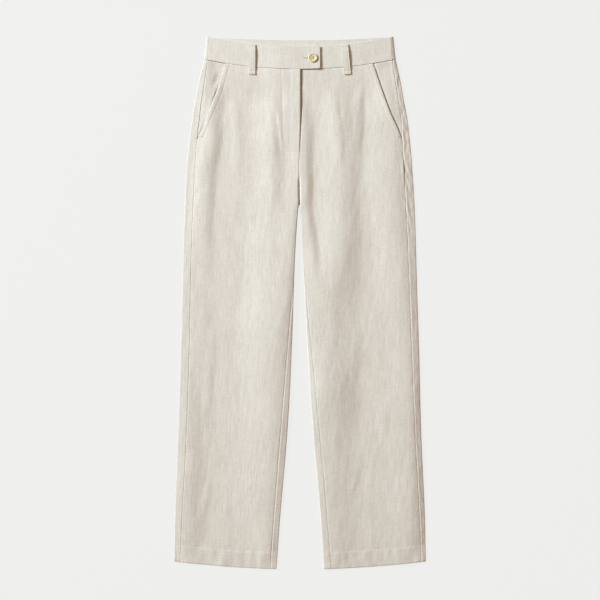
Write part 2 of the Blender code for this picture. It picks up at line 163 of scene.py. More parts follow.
EDGE_FORMS = (
    EdgeForm(45, 0.46, 40, 0.80, 10),
    EdgeForm(360, 0.48, 40, 0.80, 10),
    EdgeForm(430, 0.46, 38, 0.80, 11),
    EdgeForm(520, 0.42, 32, 0.78, 17),
    EdgeForm(600, 0.42, 28, 0.64, 34),
    EdgeForm(690, 0.42, 24, 0.54, 38),
    EdgeForm(770, 0.40, 24, 0.50, 38),
    EdgeForm(900, 0.30, 28, 0.46, 34),
    EdgeForm(1066, 0.22, 34, 0.44, 32),
)

POCKET_LINE = (
    PocketPoint(45, -149, 146),
    PocketPoint(105, -166, 165),
    PocketPoint(150, -183.5, 181),
    PocketPoint(180, -195, 194.5),
    PocketPoint(203, -204.6, 203.4),
)

CENTRE_LINE = (
    CentrePoint(0, 0.6),
    CentrePoint(45, 0.5),
    CentrePoint(165, 0.2),
    CentrePoint(207, -1.2),
    CentrePoint(250, -1.6),
    CentrePoint(310, -1.7),
    CentrePoint(335, -1.0),
)


def smooth_step(value: Field | float, start: float, end: float) -> Field:
    """Goes from 0 before start to 1 after end, with no corner on the way.

    Args:
        value: What is compared with the two ends.
        start: Where the rise begins.
        end: Where the rise is complete.

    Returns:
        The share of the rise at each value.
    """
    share = np.clip((np.asarray(value, float) - start) / (end - start), 0.0, 1.0)
    return share * share * (3.0 - 2.0 * share)


def bell(distance: Field, reach: float) -> Field:
    """A soft bump of height 1 at no distance, nearly gone at twice the reach."""
    return np.exp(-((distance / reach) ** 2))


def soft_least(first: Field, second: Field, blend: float) -> Field:
    """The smaller of two heights, with no crease where they cross."""
    return -blend * np.logaddexp(-first / blend, -second / blend)


def read_down(table: Sequence[NamedTuple], column: str, drop: Field | float) -> Field:
    """Reads a column of a table of sections on a smooth curve down the garment.

    Args:
        table: Rows in order of drop.
        column: The name of the column.
        drop: Drops to read it at, in millimetres.

    Returns:
        The column's value at each drop.
    """
    drop = np.asarray(drop, float)
    drops = np.array([row.drop for row in table], float)
    values = np.array([getattr(row, column) for row in table], float)
    slopes = np.empty_like(values)
    slopes[1:-1] = (values[2:] - values[:-2]) / (drops[2:] - drops[:-2])
    slopes[0] = (values[1] - values[0]) / (drops[1] - drops[0])
    slopes[-1] = (values[-1] - values[-2]) / (drops[-1] - drops[-2])
    row = np.clip(np.searchsorted(drops, drop, side="right") - 1, 0, len(drops) - 2)
    span = drops[row + 1] - drops[row]
    t = np.clip((drop - drops[row]) / span, 0.0, 1.0)
    value = values[row] * (1 - t) ** 2 * (1 + 2 * t) + values[row + 1] * t * t * (3 - 2 * t)
    return value + slopes[row] * span * t * (1 - t) ** 2 - slopes[row + 1] * span * t * t * (1 - t)


@dataclass(frozen=True)
class Pattern:
    """Where the edges and seams lie on the garment as it is laid, in millimetres."""

    length: float = 1066.0
    middle_drop: float = 532.7
    band_depth: float = 45.0
    crotch: float = 335.0
    curl_start: float = 336.5
    curl_end: float = 346.0
    fly_end: float = 230.0
    pocket_end: float = 203.0
    hem_depth: float = 34.0
    hem_rise: float = 16.0
    front_dip: float = 19.8
    back_dip: float = 7.2
    seam_gap: float = 0.3

    def outer_edge(self, side: Side, drop: Field | float) -> Field:
        """How far out from the centre front the leg's outer edge lies."""
        return side.value * read_down(OUTER_SECTIONS, side.label + "_edge", drop)

    def side_seam(self, side: Side, drop: Field | float) -> Field:
        """How far out the side seam shows."""
        return side.value * read_down(OUTER_SECTIONS, side.label + "_seam", drop)

    def inner_edge(self, side: Side, drop: Field | float) -> Field:
        """How far out the leg's inner edge lies, below the crotch."""
        return side.value * read_down(INNER_SECTIONS, side.label + "_edge", np.maximum(drop, self.crotch))

    def inseam(self, side: Side, drop: Field | float) -> Field:
        """How far out the inseam shows on the upper face, below the crotch."""
        inset = read_down(INNER_SECTIONS, side.label + "_inset", np.maximum(drop, self.crotch))
        return self.inner_edge(side, drop) + inset

    def pocket_line(self, side: Side, drop: Field | float) -> Field:
        """How far out the slanted pocket opening passes."""
        return side.value * read_down(POCKET_LINE, side.label + "_x", drop)

    def centre_line(self, drop: Field | float) -> Field:
        """The x of the centre seams, down to the crotch."""
        return read_down(CENTRE_LINE, "x", np.clip(drop, 0.0, self.crotch))

    def place(self, x: Field, drop: Field, height: Field, dip: float) -> Field:
        """Puts pattern places into the row frame.

        Args:
            x: Across from the centre front.
            drop: Down from the top of the back waistband.
            height: Above the floor.
            dip: How much lower the waist seam is at the centre than at the sides.

        Returns:
            The places in metres, with x, y and z last.
        """
        x, drop, height = np.broadcast_arrays(np.asarray(x, float), drop, height)
        reach = np.maximum(drop, 0.0)
        half = np.where(x < 0, self.outer_edge(Side.RIGHT, reach), self.outer_edge(Side.LEFT, reach))
        real = drop + dip * (1.0 - (x / half) ** 2) * (1.0 - smooth_step(drop, self.band_depth, self.crotch))
        real = real - self.hem_rise * (x / half) ** 2 * smooth_step(drop, self.crotch, self.length)
        return np.stack((x * MM, (self.middle_drop - real) * MM, height * MM), axis=-1)


@dataclass(frozen=True)
class Fold:
    """A soft crest, or below 0 a trough, through three places down the leg, in millimetres."""

    start: float
    end: float
    x_start: float
    x_middle: float
    x_end: float
    left: float
    right: float
    height: float
    fade: float = 0.3
    wander: float = 2.2

    def relief(self, x: Field, drop: Field) -> Field:
        """What the fold adds to the height of the cloth at these places.

        Args:
            x: Across from the centre front.
            drop: Down from the top of the back waistband.

        Returns:
            The added height.
        """
        share = (drop - self.start) / (self.end - self.start)
        inside = (share > 0.0) & (share < 1.0)
        share = np.clip(share, 0.0, 1.0)
        bend = self.x_middle - (self.x_start + self.x_end) / 2
        crest = self.x_start + (self.x_end - self.x_start) * share + 4 * bend * share * (1 - share)
        crest = crest + self.wander * (np.sin(drop / 41 + self.x_start) + 0.6 * np.sin(drop / 19 + self.end))
        reach = np.where(x > crest, self.right, self.left)
        away = np.minimum(np.abs(x - crest) / reach, 1.0)
        fade = smooth_step(share, 0.0, self.fade) * smooth_step(1.0 - share, 0.0, self.fade)
        uneven = 1.0 + 0.14 * np.sin(drop / 33 + self.x_end)
        return np.where(inside, self.height * uneven * fade * (1.0 - away * away) ** 2, 0.0)


MAIN_FOLDS = {
    Side.RIGHT: (
        Fold(20, 520, 2, 7, 30, 100, 22, 4.0, 0.25),
        Fold(-40, 500, -160, -183, -200, 34, 26, 3.6, 0.35),
        Fold(40, 370, -55, -53, -54, 50, 24, 2.5),
        Fold(200, 760, -34, -36, -50, 104, 56, 2.8),
        Fold(260, 1150, -30, -45, -72, 120, 104, 6.0, 0.38),
        Fold(600, 1200, -232, -226, -216, 60, 34, 2.4, 0.4),
        Fold(200, 1150, -118, -118, -122, 80, 60, -1.5),
        Fold(67, 330, -134, -126, -122, 18, 16, 1.0),
        Fold(150, 500, -36, -37, -38, 24, 40, -1.7, 0.35),
    ),
    Side.LEFT: (
        Fold(0, 210, 4, 6, 8, 100, 70, 2.4, 0.45),
        Fold(110, 520, 9, 11, 30, 100, 20, 3.9, 0.25),
        Fold(-30, 560, 60, 84, 72, 54, 46, 4.6, 0.25),
        Fold(350, 860, 60, 52, 56, 100, 78, 5.2, 0.32),
        Fold(560, 1300, 46, 50, 44, 100, 72, 3.6),
        Fold(-60, 600, 180, 185, 212, 60, 60, 4.8),
        Fold(340, 1300, 210, 220, 230, 104, 90, 3.6),
        Fold(400, 1300, 220, 225, 232, 58, 60, 1.9, 0.25),
        Fold(50, 250, 119, 119, 118, 20, 12, 1.8),
        Fold(40, 300, 71, 75, 84, 24, 12, 1.0),
    ),
}

SMALL_CREASES = (
    Fold(120, 240, -53, -45, -40, 12, 6, -1.0, wander=0.6),
    Fold(560, 800, -168, -180, -196, 14, 12, 0.6),
    Fold(660, 830, -136, -134, -132, 16, 11, 0.5),
    Fold(740, 1010, -152, -176, -204, 14, 12, 0.6),
    Fold(880, 1180, -142, -150, -156, 12, 10, 0.5),
    Fold(520, 650, 66, 68, 72, 18, 12, 0.5),
    Fold(640, 900, 92, 78, 70, 18, 12, 0.3),
    Fold(560, 700, 112, 108, 104, 10, 12, 0.5),
    Fold(780, 1180, 138, 141, 146, 14, 10, 0.4),
    Fold(730, 830, 168, 171, 172, 14, 12, 0.5),
    Fold(820, 930, 120, 113, 106, 12, 9, 0.6),
    Fold(960, 1130, -65, -63, -62, 36, 22, 2.0, 0.4, 0.3),
    Fold(1000, 1100, -202, -194, -188, 14, 14, -0.7, 0.4),
)

UNDER_FOLDS = (
    Fold(80, 520, -60, -66, -56, 22, 26, 0.7),
    Fold(120, 640, -200, -210, -216, 24, 16, 0.7),
    Fold(500, 980, -80, -72, -90, 26, 22, 0.7),
    Fold(80, 560, 70, 76, 60, 26, 30, 0.8),
    Fold(200, 700, 180, 190, 206, 24, 20, 0.7),
    Fold(620, 1040, 80, 74, 82, 22, 26, 0.7),
    Fold(380, 470, -160, -140, -100, 12, 12, 0.3),
    Fold(360, 450, 96, 130, 160, 12, 12, 0.3),
)


@dataclass(frozen=True)
class Crumple:
    """Uneven soft relief from gradient noise, the same at each run."""

    seed: int
    cell_across: float
    cell_down: float
    height: float
    lean: float = 0.0

    def relief(self, x: Field, drop: Field) -> Field:
        """The relief at these places, in millimetres, from about -height to height.

        Args:
            x: Across from the centre front.
            drop: Down from the top of the back waistband.

        Returns:
            The relief.
        """
        turns = np.random.default_rng(self.seed).uniform(0.0, 2.0 * math.pi, (128, 128))
        across, down = (x + self.lean * drop) / self.cell_across + 64.0, drop / self.cell_down
        column, row = np.floor(across).astype(int), np.floor(down).astype(int)
        a, d = across - column, down - row

        def corner(right: int, below: int) -> Field:
            """The pull of one corner of the cell."""
            turn = turns[(row + below) % 128, (column + right) % 128]
            return np.cos(turn) * (a - right) + np.sin(turn) * (d - below)

        ease_a, ease_d = a**3 * (a * (6 * a - 15) + 10), d**3 * (d * (6 * d - 15) + 10)
        upper = corner(0, 0) + (corner(1, 0) - corner(0, 0)) * ease_a
        lower = corner(0, 1) + (corner(1, 1) - corner(0, 1)) * ease_a
        return 1.5 * self.height * (upper + (lower - upper) * ease_d)


LEG_CRUMPLES = (Crumple(11, 40, 130, 0.32, 0.05), Crumple(12, 17, 60, 0.20, 0.10))
LEG_WRINKLES = (Crumple(13, 8.5, 30, 0.15, 0.14), Crumple(14, 4.8, 14, 0.08, 0.12))
WRINKLE_PATCHES = Crumple(15, 75, 150, 1.0)
BAND_CRUMPLES = (Crumple(21, 44, 30, 0.22), Crumple(22, 15, 12, 0.09))
UNDER_CRUMPLES = (Crumple(31, 40, 70, 0.3), Crumple(32, 14, 26, 0.12))
SEAM_PULLS = Crumple(43, 11, 14, 1.0)
STRIP_PUCKERS = Crumple(44, 5.5, 16, 1.0, -0.25)


@dataclass(frozen=True)
class Lay:
    """How high each layer of cloth lies above the floor, in millimetres."""

    pattern: Pattern = field(default_factory=Pattern)
    cloth: float = 1.2
    loop_cloth: float = 1.5
    band_cloth: float = 2.4
    low_level: float = 0.6
    rest_level: float = 2.2
    seam_crest: float = 1.2
    low_crest: float = 1.5
    crest_reach: float = 66.0
    edge_middle: float = 2.0
    edge_turn: float = 1.6
    flat_edge_turn: float = 0.3
    flat_turn: float = 0.68
    flat_reach: float = 36.0
    band_low: float = 3.0
    band_high: float = 6.0
    waist_ease_end: float = 130.0
    layer_step: float = 1.5
    fly_width: float = 34.0
    fly_slope: float = 60.0
    cloth_lap: float = 1.4
    band_lap: float = 2.7
    underlap_seam: float = 4.0

    def waist_lift(self, drop: Field) -> Field:
        """1 at the waist seam, dying away below it."""
        return 1.0 - smooth_step(drop, self.pattern.band_depth, self.waist_ease_end)

    def under_relief(self, x: Field, drop: Field) -> Field:
        """How far the back panels' folds lift them off the floor.

        Args:
            x: Across from the centre front.
            drop: Down from the top of the back waistband.

        Returns:
            The lift.
        """
        lift = sum(fold.relief(x, drop) for fold in UNDER_FOLDS)
        lift = lift + 0.2 + sum(crumple.relief(x, drop) for crumple in UNDER_CRUMPLES)
        return np.clip(lift, 0.0, 1.5) * (1.0 - self.waist_lift(drop))

    def back_level(self, drop: Field) -> Field:
        """The middle of the back panels, where they lie flat."""
        return self.low_level + (self.band_low - self.low_level) * self.waist_lift(drop)

    @property
    def waist_turn(self) -> float:
        """The middle of the cloth where it turns round the edge at the waist seam."""
        return (self.band_low + self.band_high) / 2 - 0.7

    def edge_level(self, drop: Field) -> Field:
        """The middle of the cloth where it turns round the leg's edge."""
        return self.edge_middle + (self.waist_turn - self.edge_middle) * self.waist_lift(drop)

    def edge_share(self, away: Field, turn: Field | float, reach: Field | float, sharp_turn: float) -> Field:
        """The share of its height that the cloth has near an edge.

        Args:
            away: How far inside the edge each place is.
            turn: The share that the last sharp turn takes.
            reach: How far in the rest of the fall begins.
            sharp_turn: How wide the sharp turn is.

        Returns:
            Shares from 0 at the edge to 1 at the reach.
        """
        sharp = np.clip(away / sharp_turn, 0.0, 1.0)
        slow = 1.0 - (1.0 - np.clip(away / reach, 0.0, 1.0)) ** 2
        return turn * np.sqrt(sharp * (2.0 - sharp)) + (1.0 - turn) * slow

    def edge_shares(self, side: Side, out: Field, drop: Field) -> Field:
        """The share of its height that the leg's two edges leave the upper layer.

        Args:
            side: The leg, or half of the band.
            out: Out from the middle line.
            drop: Down from the top of the back waistband.

        Returns:
            The share of both edges.
        """
        pattern = self.pattern
        outer = np.maximum(pattern.outer_edge(side, drop) - self.cloth / 2 - out, 0.0)
        inner = np.maximum(out - pattern.inner_edge(side, drop) - self.cloth / 2, 0.0)
        if side is Side.RIGHT:
            outer = self.edge_share(outer, 1.0, self.flat_reach, self.flat_edge_turn)
            inner = self.fallen_share(inner, drop, "right_inner", self.edge_turn / 2)
        else:
            outer = self.fallen_share(outer, drop, "left_outer", self.edge_turn)
            inner = self.edge_share(inner, self.flat_turn, self.flat_reach, 2.0 * self.flat_edge_turn)
        parted = smooth_step(drop, pattern.crotch - 12.0, pattern.crotch + 14.0)
        return outer * (1.0 + parted * (inner - 1.0))

    def fallen_share(self, away: Field, drop: Field, edge: str, sharp_turn: float) -> Field:
        """The share near one of the edges of the table of edge forms."""
        turn, reach = (read_down(EDGE_FORMS, edge + end, drop) for end in ("_turn", "_reach"))
        return self.edge_share(away, turn, reach, sharp_turn)

    def creases(self, x: Field, drop: Field) -> Field:
        """The small creases and wrinkles of the upper layer, stronger in some patches.

        Args:
            x: Across from the centre front.
            drop: Down from the top of the back waistband.

        Returns:
            The relief.
        """
        patch = 0.75 + 0.9 * WRINKLE_PATCHES.relief(x, drop)
        small = sum(crease.relief(x, drop) for crease in SMALL_CREASES)
        small = small + sum(crumple.relief(x, drop) for crumple in LEG_CRUMPLES)
        return small + np.clip(patch, 0.3, 1.6) * sum(crumple.relief(x, drop) for crumple in LEG_WRINKLES)

    def upper_level(self, side: Side, x: Field, drop: Field, crumpled: bool = True) -> Field:
        """The middle of the upper layer of cloth.

        Args:
            side: The leg.
            x: Across from the centre front.
            drop: Down from the top of the back waistband.
            crumpled: Whether the small creases are added to the main form.

        Returns:
            Heights above the floor.
        """
        x, drop = np.broadcast_arrays(np.asarray(x, float), np.asarray(drop, float))
        pattern, out, lift = self.pattern, side.value * x, self.waist_lift(drop)
        seam = pattern.side_seam(side, drop)
        folds = sum(fold.relief(x, drop) for fold in MAIN_FOLDS[side])
        if side is Side.RIGHT:
            near = 1.0 - smooth_step(seam - out, 0.0, self.crest_reach)
            folds = folds + near * (self.seam_crest + self.low_crest * smooth_step(drop, 360.0, 560.0))
        if crumpled:
            folds = folds + self.creases(x, drop) * (1.0 - 0.5 * lift)
        level = self.rest_level + folds * (1.0 - 0.45 * smooth_step(drop, 1000.0, pattern.length))
        level = level - 0.8 * (1.0 - smooth_step(np.hypot(x, drop - pattern.crotch), 10.0, 50.0))
        floor = self.back_level(drop) + self.under_relief(x, drop) + self.layer_step
        level = -soft_least(-level, -floor, 0.2)
        level = self.edge_middle + (level - self.edge_middle) * self.edge_shares(side, out, drop)
        edge = pattern.outer_edge(side, drop) - self.cloth / 2
        share = np.clip((out - seam) / np.maximum(edge - seam, 0.3), 0.0, 1.0)
        waist = self.waist_turn + (self.band_high - self.waist_turn) * self.round_down(side, share)
        return level * (1.0 - lift) + waist * lift

    def round_down(self, side: Side, share: Field) -> Field:
        """The rounding of the waist's sides, from 1 at the side seam to 0 at the edge.

        Args:
            side: The leg, or half of the band.
            share: How far round, from 0 to 1.

        Returns:
            The rounding.
        """
        if side is Side.RIGHT:
            return 0.12 * (1.0 - share) + 0.88 * np.sqrt(1.0 - share**40)
        return 0.5 * np.sqrt(1.0 - share * share) + 0.5 * (1.0 - share)

    def seam_relief(self, side: Side, x: Field, drop: Field) -> Field:
        """The lines of the side seam and the inseam, as puckered as each one shows.

        Args:
            side: The leg.
            x: Across from the centre front.
            drop: Down from the top of the back waistband.

        Returns:
            What the seams add to the height of the cloth.
        """
        pattern, out = self.pattern, side.value * x
        pull = SEAM_PULLS.relief(x, drop)
        past = out - pattern.side_seam(side, drop)
        past_inner = pattern.inseam(side, drop) - out
        shown = smooth_step(drop, 480.0, 540.0)
        if side is Side.RIGHT:
            step = 0.22 * smooth_step(past, -0.9, 0.3) * np.exp(-np.maximum(past, 0.0) / 9.0)
            line = 0.2 + 0.42 * smooth_step(drop, 150.0, 230.0)
            outer = step - (line + 0.5 * pull) * bell(past, 0.55) + 0.14 * pull * bell(past, 5.0)
            inner = 0.12 * bell(past_inner - 2.2, 1.2) - (0.5 + 0.3 * pull) * bell(past_inner, 1.1)
        else:
            lively = 0.35 + 0.65 * (1.0 - smooth_step(drop, 330.0, 420.0))
            before, after = 0.9 * smooth_step(past, -8.0, -0.3), -1.3 * np.exp(-np.maximum(past, 0.0) / 4.0)
            pinch = bell(drop - 268.0, 17.0) * np.where(past < 0.0, before, after)
            outer = 0.2 * bell(past - 2.4, 1.3) - (0.5 + 0.5 * pull) * bell(past, 0.8)
            outer = outer + pinch + 0.3 * pull * bell(past - 1.0, 7.0)
            outer = outer + 0.85 * lively * STRIP_PUCKERS.relief(x, drop) * smooth_step(past, -5.0, 1.0)
            inner = -(0.45 + 0.15 * pull) * bell(past_inner, 0.9)
        return outer + np.where(drop > pattern.crotch, inner * shown, 0.0)

    def fly_lift(self, x: Field, drop: Field) -> Field:
        """How far the right front rises to pass over the left at the centre front.

        Args:
            x: Across from the centre front.
            drop: Down from the top of the back waistband.

        Returns:
            The rise.
        """
        across = smooth_step(x, -self.fly_width - self.fly_slope, -self.fly_width)
        lap = self.cloth_lap + (self.band_lap - self.cloth_lap) * self.waist_lift(drop)
        end = self.pattern.fly_end
        return lap * across * (1.0 - smooth_step(drop, end - 34.0, end + 6.0))


@dataclass(frozen=True)
class FlyStitch:
    """The curved line of stitching that holds the fly's facing, in pattern places."""

    top_x: float = -37.0
    low_x: float = -34.0
    top_drop: float = 45.0
    turn_drop: float = 190.0
    centre_x: float = -2.0

    def line_x(self, drop: Field) -> Field:
        """The x of the straight stretch."""
        share = (drop - self.top_drop) / (self.turn_drop - self.top_drop)
        return self.top_x + (self.low_x - self.top_x) * share

    def distance(self, x: Field, drop: Field) -> Field:
        """How far each place is from the line.

        Args:
            x: Across from the centre front.
            drop: Down from the top of the back waistband.

        Returns:
            The distances.
        """
        radius = self.centre_x - self.low_x
        straight = np.abs(x - self.line_x(drop))
        curve = np.abs(np.hypot(x - self.centre_x, drop - self.turn_drop) - radius)
        return np.where(drop < self.turn_drop, straight, np.where(x < self.centre_x, curve, 99.0))

    def places(self) -> tuple[Field, Field]:
        """Places along the line, as x and drop.

        Returns:
            x and drop.
        """
        drops = np.arange(47.0, self.turn_drop, 1.0)
        turn = np.linspace(0.0, math.pi / 2, 50)
        radius = self.centre_x - self.low_x
        x = np.concatenate((self.line_x(drops), self.centre_x - radius * np.cos(turn)))
        return x, np.concatenate((drops, self.turn_drop + radius * np.sin(turn)))


# Materials ---------------------------------------------------------------------------------------


class NodeBench:
    """A short way to add and join the nodes of one material."""

    def __init__(self, name: str) -> None:
        """Starts a material that holds a Principled BSDF and its output.

        Args:
            name: The name to give it.
        """
        self.material = bpy.data.materials.new(name)
        self.material.use_nodes = True
        self.tree = self.material.node_tree
        self.surface = self.tree.nodes["Principled BSDF"]

    def add(self, kind: str, values: dict | None = None, **settings: object) -> bpy.types.Node:
        """Adds a node.

        Args:
            kind: Its type, without the leading ShaderNode.
            values: What its inputs hold, or the sockets that feed them.
            settings: The node's own settings.

        Returns:
            The new node.
        """
        node = self.tree.nodes.new("ShaderNode" + kind)
        for key, value in settings.items():
            setattr(node, key, value)
        for key, value in (values or {}).items():
            self.set(node.inputs[key], value)
        return node

    def set(self, socket: bpy.types.NodeSocket, value: object) -> None:
        """Feeds a socket from another one, or gives it a value of its own.

        Args:
            socket: The socket to feed.
            value: Another socket, or a plain value.
        """
        if isinstance(value, bpy.types.NodeSocket):
            self.tree.links.new(value, socket)
        else:
            socket.default_value = value

    def math(self, operation: str, first: object, second: object = 0.0) -> bpy.types.NodeSocket:
        """The result of a sum on two sockets or numbers."""
        return self.add("Math", {0: first, 1: second}, operation=operation).outputs[0]

    def noise(
        self, place: bpy.types.NodeSocket, scale: Sequence[float], detail: float
    ) -> bpy.types.NodeSocket:
        """Stretched noise, centred on 0.

        Args:
            place: The coordinates.
            scale: The scale along each axis.
            detail: The octaves of the noise.

        Returns:
            The noise.
        """
        mapped = self.add("Mapping", {"Vector": place, "Scale": tuple(scale)}).outputs["Vector"]
        noise = self.add("TexNoise", {"Vector": mapped, "Scale": 1.0, "Detail": detail, "Roughness": 0.55})
        return self.math("SUBTRACT", noise.outputs["Fac"], 0.5)

    def colour(self, colour: Sequence[float], tone: bpy.types.NodeSocket) -> None:
        """Gives the surface its colour, which a tone near 1 makes lighter or darker in places.

        Args:
            colour: Red, green and blue.
            tone: The factor on the colour.
        """
        base = self.add("CombineXYZ", {0: colour[0], 1: colour[1], 2: colour[2]}).outputs[0]
        toned = self.add("VectorMath", {0: base, "Scale": tone}, operation="SCALE").outputs[0]
        self.set(self.surface.inputs["Base Color"], toned)

    def raise_by(self, height: bpy.types.NodeSocket, strength: float, distance: float) -> None:
        """Gives the surface a fine relief, up to a distance in metres."""
        bump = self.add("Bump", {"Height": height, "Strength": strength, "Distance": distance})
        self.set(self.surface.inputs["Normal"], bump.outputs["Normal"])

    def gloss(self, values: dict[str, object]) -> None:
        """Sets the surface's own values, which are the same all over."""
        for name, value in values.items():
            self.surface.inputs[name].default_value = value


@dataclass(frozen=True)
class Linen:
    """Plain-woven linen: uneven yarns both ways, a dry surface and a little down."""

    name: str
    colour: tuple[float, float, float] = (0.697, 0.681, 0.612)
    slub: float = 0.26
    mottle: float = 0.10
    yarn: float = 0.0008
    weave_height: float = 0.00022

    def build(self) -> bpy.types.Material:
        """Makes the material. It follows the cloth's own UV map.

        Returns:
            The material.
        """
        bench = NodeBench(self.name)
        uv = bench.add("UVMap", uv_map="cloth").outputs["UV"]
        span = UV_SPAN
        warp_fine = bench.noise(uv, (span / 0.0017, span / 0.015, 1.0), 2.0)
        weft_fine = bench.noise(uv, (span / 0.010, span / 0.0017, 1.0), 2.0)
        warp_slub = bench.noise(uv, (span / 0.0036, span / 0.042, 1.0), 2.0)
        weft_slub = bench.noise(uv, (span / 0.024, span / 0.0032, 1.0), 2.0)
        grain = bench.noise(uv, (span / 0.0030, span / 0.0040, 1.0), 2.0)
        cloud = bench.noise(uv, (span / 0.045, span / 0.07, 1.0), 3.0)
        yarns = bench.math("ADD", warp_fine, bench.math("MULTIPLY", weft_fine, 0.75))
        slubs = bench.math("ADD", warp_slub, bench.math("MULTIPLY", weft_slub, 0.45))
        slubs = bench.math("ADD", slubs, bench.math("MULTIPLY", grain, 0.6))
        both = bench.math("MULTIPLY", bench.math("ADD", bench.math("MULTIPLY", yarns, 0.8), slubs), self.slub)
        tone = bench.math("ADD", both, bench.math("MULTIPLY", cloud, self.mottle))
        tone = bench.math("ADD", tone, 1.0)
        bench.colour(self.colour, tone)
        fine = (span / self.yarn, span / self.yarn, 1.0)
        weave = bench.add("Mapping", {"Vector": uv, "Scale": fine}).outputs["Vector"]
        bands = {"Vector": weave, "Scale": 0.157, "Distortion": 0.6, "Detail": 1.0}
        warp, weft = (bench.add("TexWave", bands, bands_direction=way).outputs["Fac"] for way in "XY")
        relief = bench.math("ADD", bench.math("MULTIPLY", warp, weft), bench.math("MULTIPLY", yarns, 1.6))
        relief = bench.math("ADD", relief, bench.math("MULTIPLY", slubs, 1.4))
        bench.raise_by(relief, 0.5, self.weave_height)
        bench.gloss({"Roughness": 0.92, "Specular IOR Level": 0.25})
        bench.gloss({"Sheen Weight": 0.10, "Sheen Roughness": 0.55})
        return bench.material


@dataclass(frozen=True)
class SewingThread:
    """Spun thread, dyed to match the cloth; in a dark colour it also serves as the painted shade inside the
    buttonhole's slit.
    """

    name: str
    colour: tuple[float, float, float] = (0.74, 0.69, 0.61)

    def build(self) -> bpy.types.Material:
        """Makes the material, with a fine twist on Object coordinates.

        Returns:
            The material.
        """
        bench = NodeBench(self.name)
        place = bench.add("TexCoord").outputs["Object"]
        twist = bench.noise(place, (2600.0, 2600.0, 2600.0), 2.0)
        tone = bench.math("ADD", bench.math("MULTIPLY", twist, 0.25), 1.0)
        bench.colour(self.colour, tone)
        bench.raise_by(twist, 0.5, 0.0001)
        bench.gloss({"Roughness": 0.65})
        return bench.material


@dataclass(frozen=True)
class PaleHorn:
    """A polished, creamy horn with faint darker clouds."""

    name: str
    light: tuple[float, float, float] = (0.76, 0.69, 0.43)
    dark: tuple[float, float, float] = (0.66, 0.57, 0.35)

    def build(self) -> bpy.types.Material:
        """Makes the material on Object coordinates.

        Returns:
            The material.
        """
        bench = NodeBench(self.name)
        place = bench.add("TexCoord").outputs["Object"]
        cloud = bench.noise(place, (260.0, 90.0, 200.0), 3.0)
        share = bench.math("MULTIPLY_ADD", cloud, 1.6)
        share.node.inputs[2].default_value = 0.35
        share.node.use_clamp = True
        mix = bench.add("Mix", {"Factor": share}, data_type="RGBA")
        mix.inputs[6].default_value = (*self.light, 1.0)
        mix.inputs[7].default_value = (*self.dark, 1.0)
        bench.set(bench.surface.inputs["Base Color"], mix.outputs[2])
        bench.raise_by(cloud, 0.2, 0.0002)
        bench.gloss({"Roughness": 0.28, "Coat Weight": 0.3, "Coat Roughness": 0.15})
        return bench.material


# Ways to make pieces -----------------------------------------------------------------------------


def new_object(name: str, shape: bmesh.types.BMesh, finish: bpy.types.Material) -> bpy.types.Object:
    """Turns a finished bmesh into an object at the origin, and frees it.

    Args:
        name: The name to give it.
        shape: The bmesh.
        finish: The material.

    Returns:
        The object.
    """
    mesh = bpy.data.meshes.new(name)
    shape.to_mesh(mesh)
    shape.free()
    mesh.materials.append(finish)
    mesh.shade_smooth()
    piece = bpy.data.objects.new(name, mesh)
    bpy.context.scene.collection.objects.link(piece)
    return piece


def hand_over(piece: bpy.types.Object, slot: Slot, *stands_for: str) -> bpy.types.Object:
    """Lets a piece ride on the frame, and hides the CAD nodes that it stands for.

    Args:
        piece: The object.
        slot: The material slot; not used.
        stands_for: The CAD nodes that it replaces.

    Returns:
        The same object.
    """
    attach(piece, BODY)
    if stands_for:
        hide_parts(*stands_for)
    LOG.info("%s: %d faces before its modifiers", piece.name, len(piece.data.polygons))
    return piece


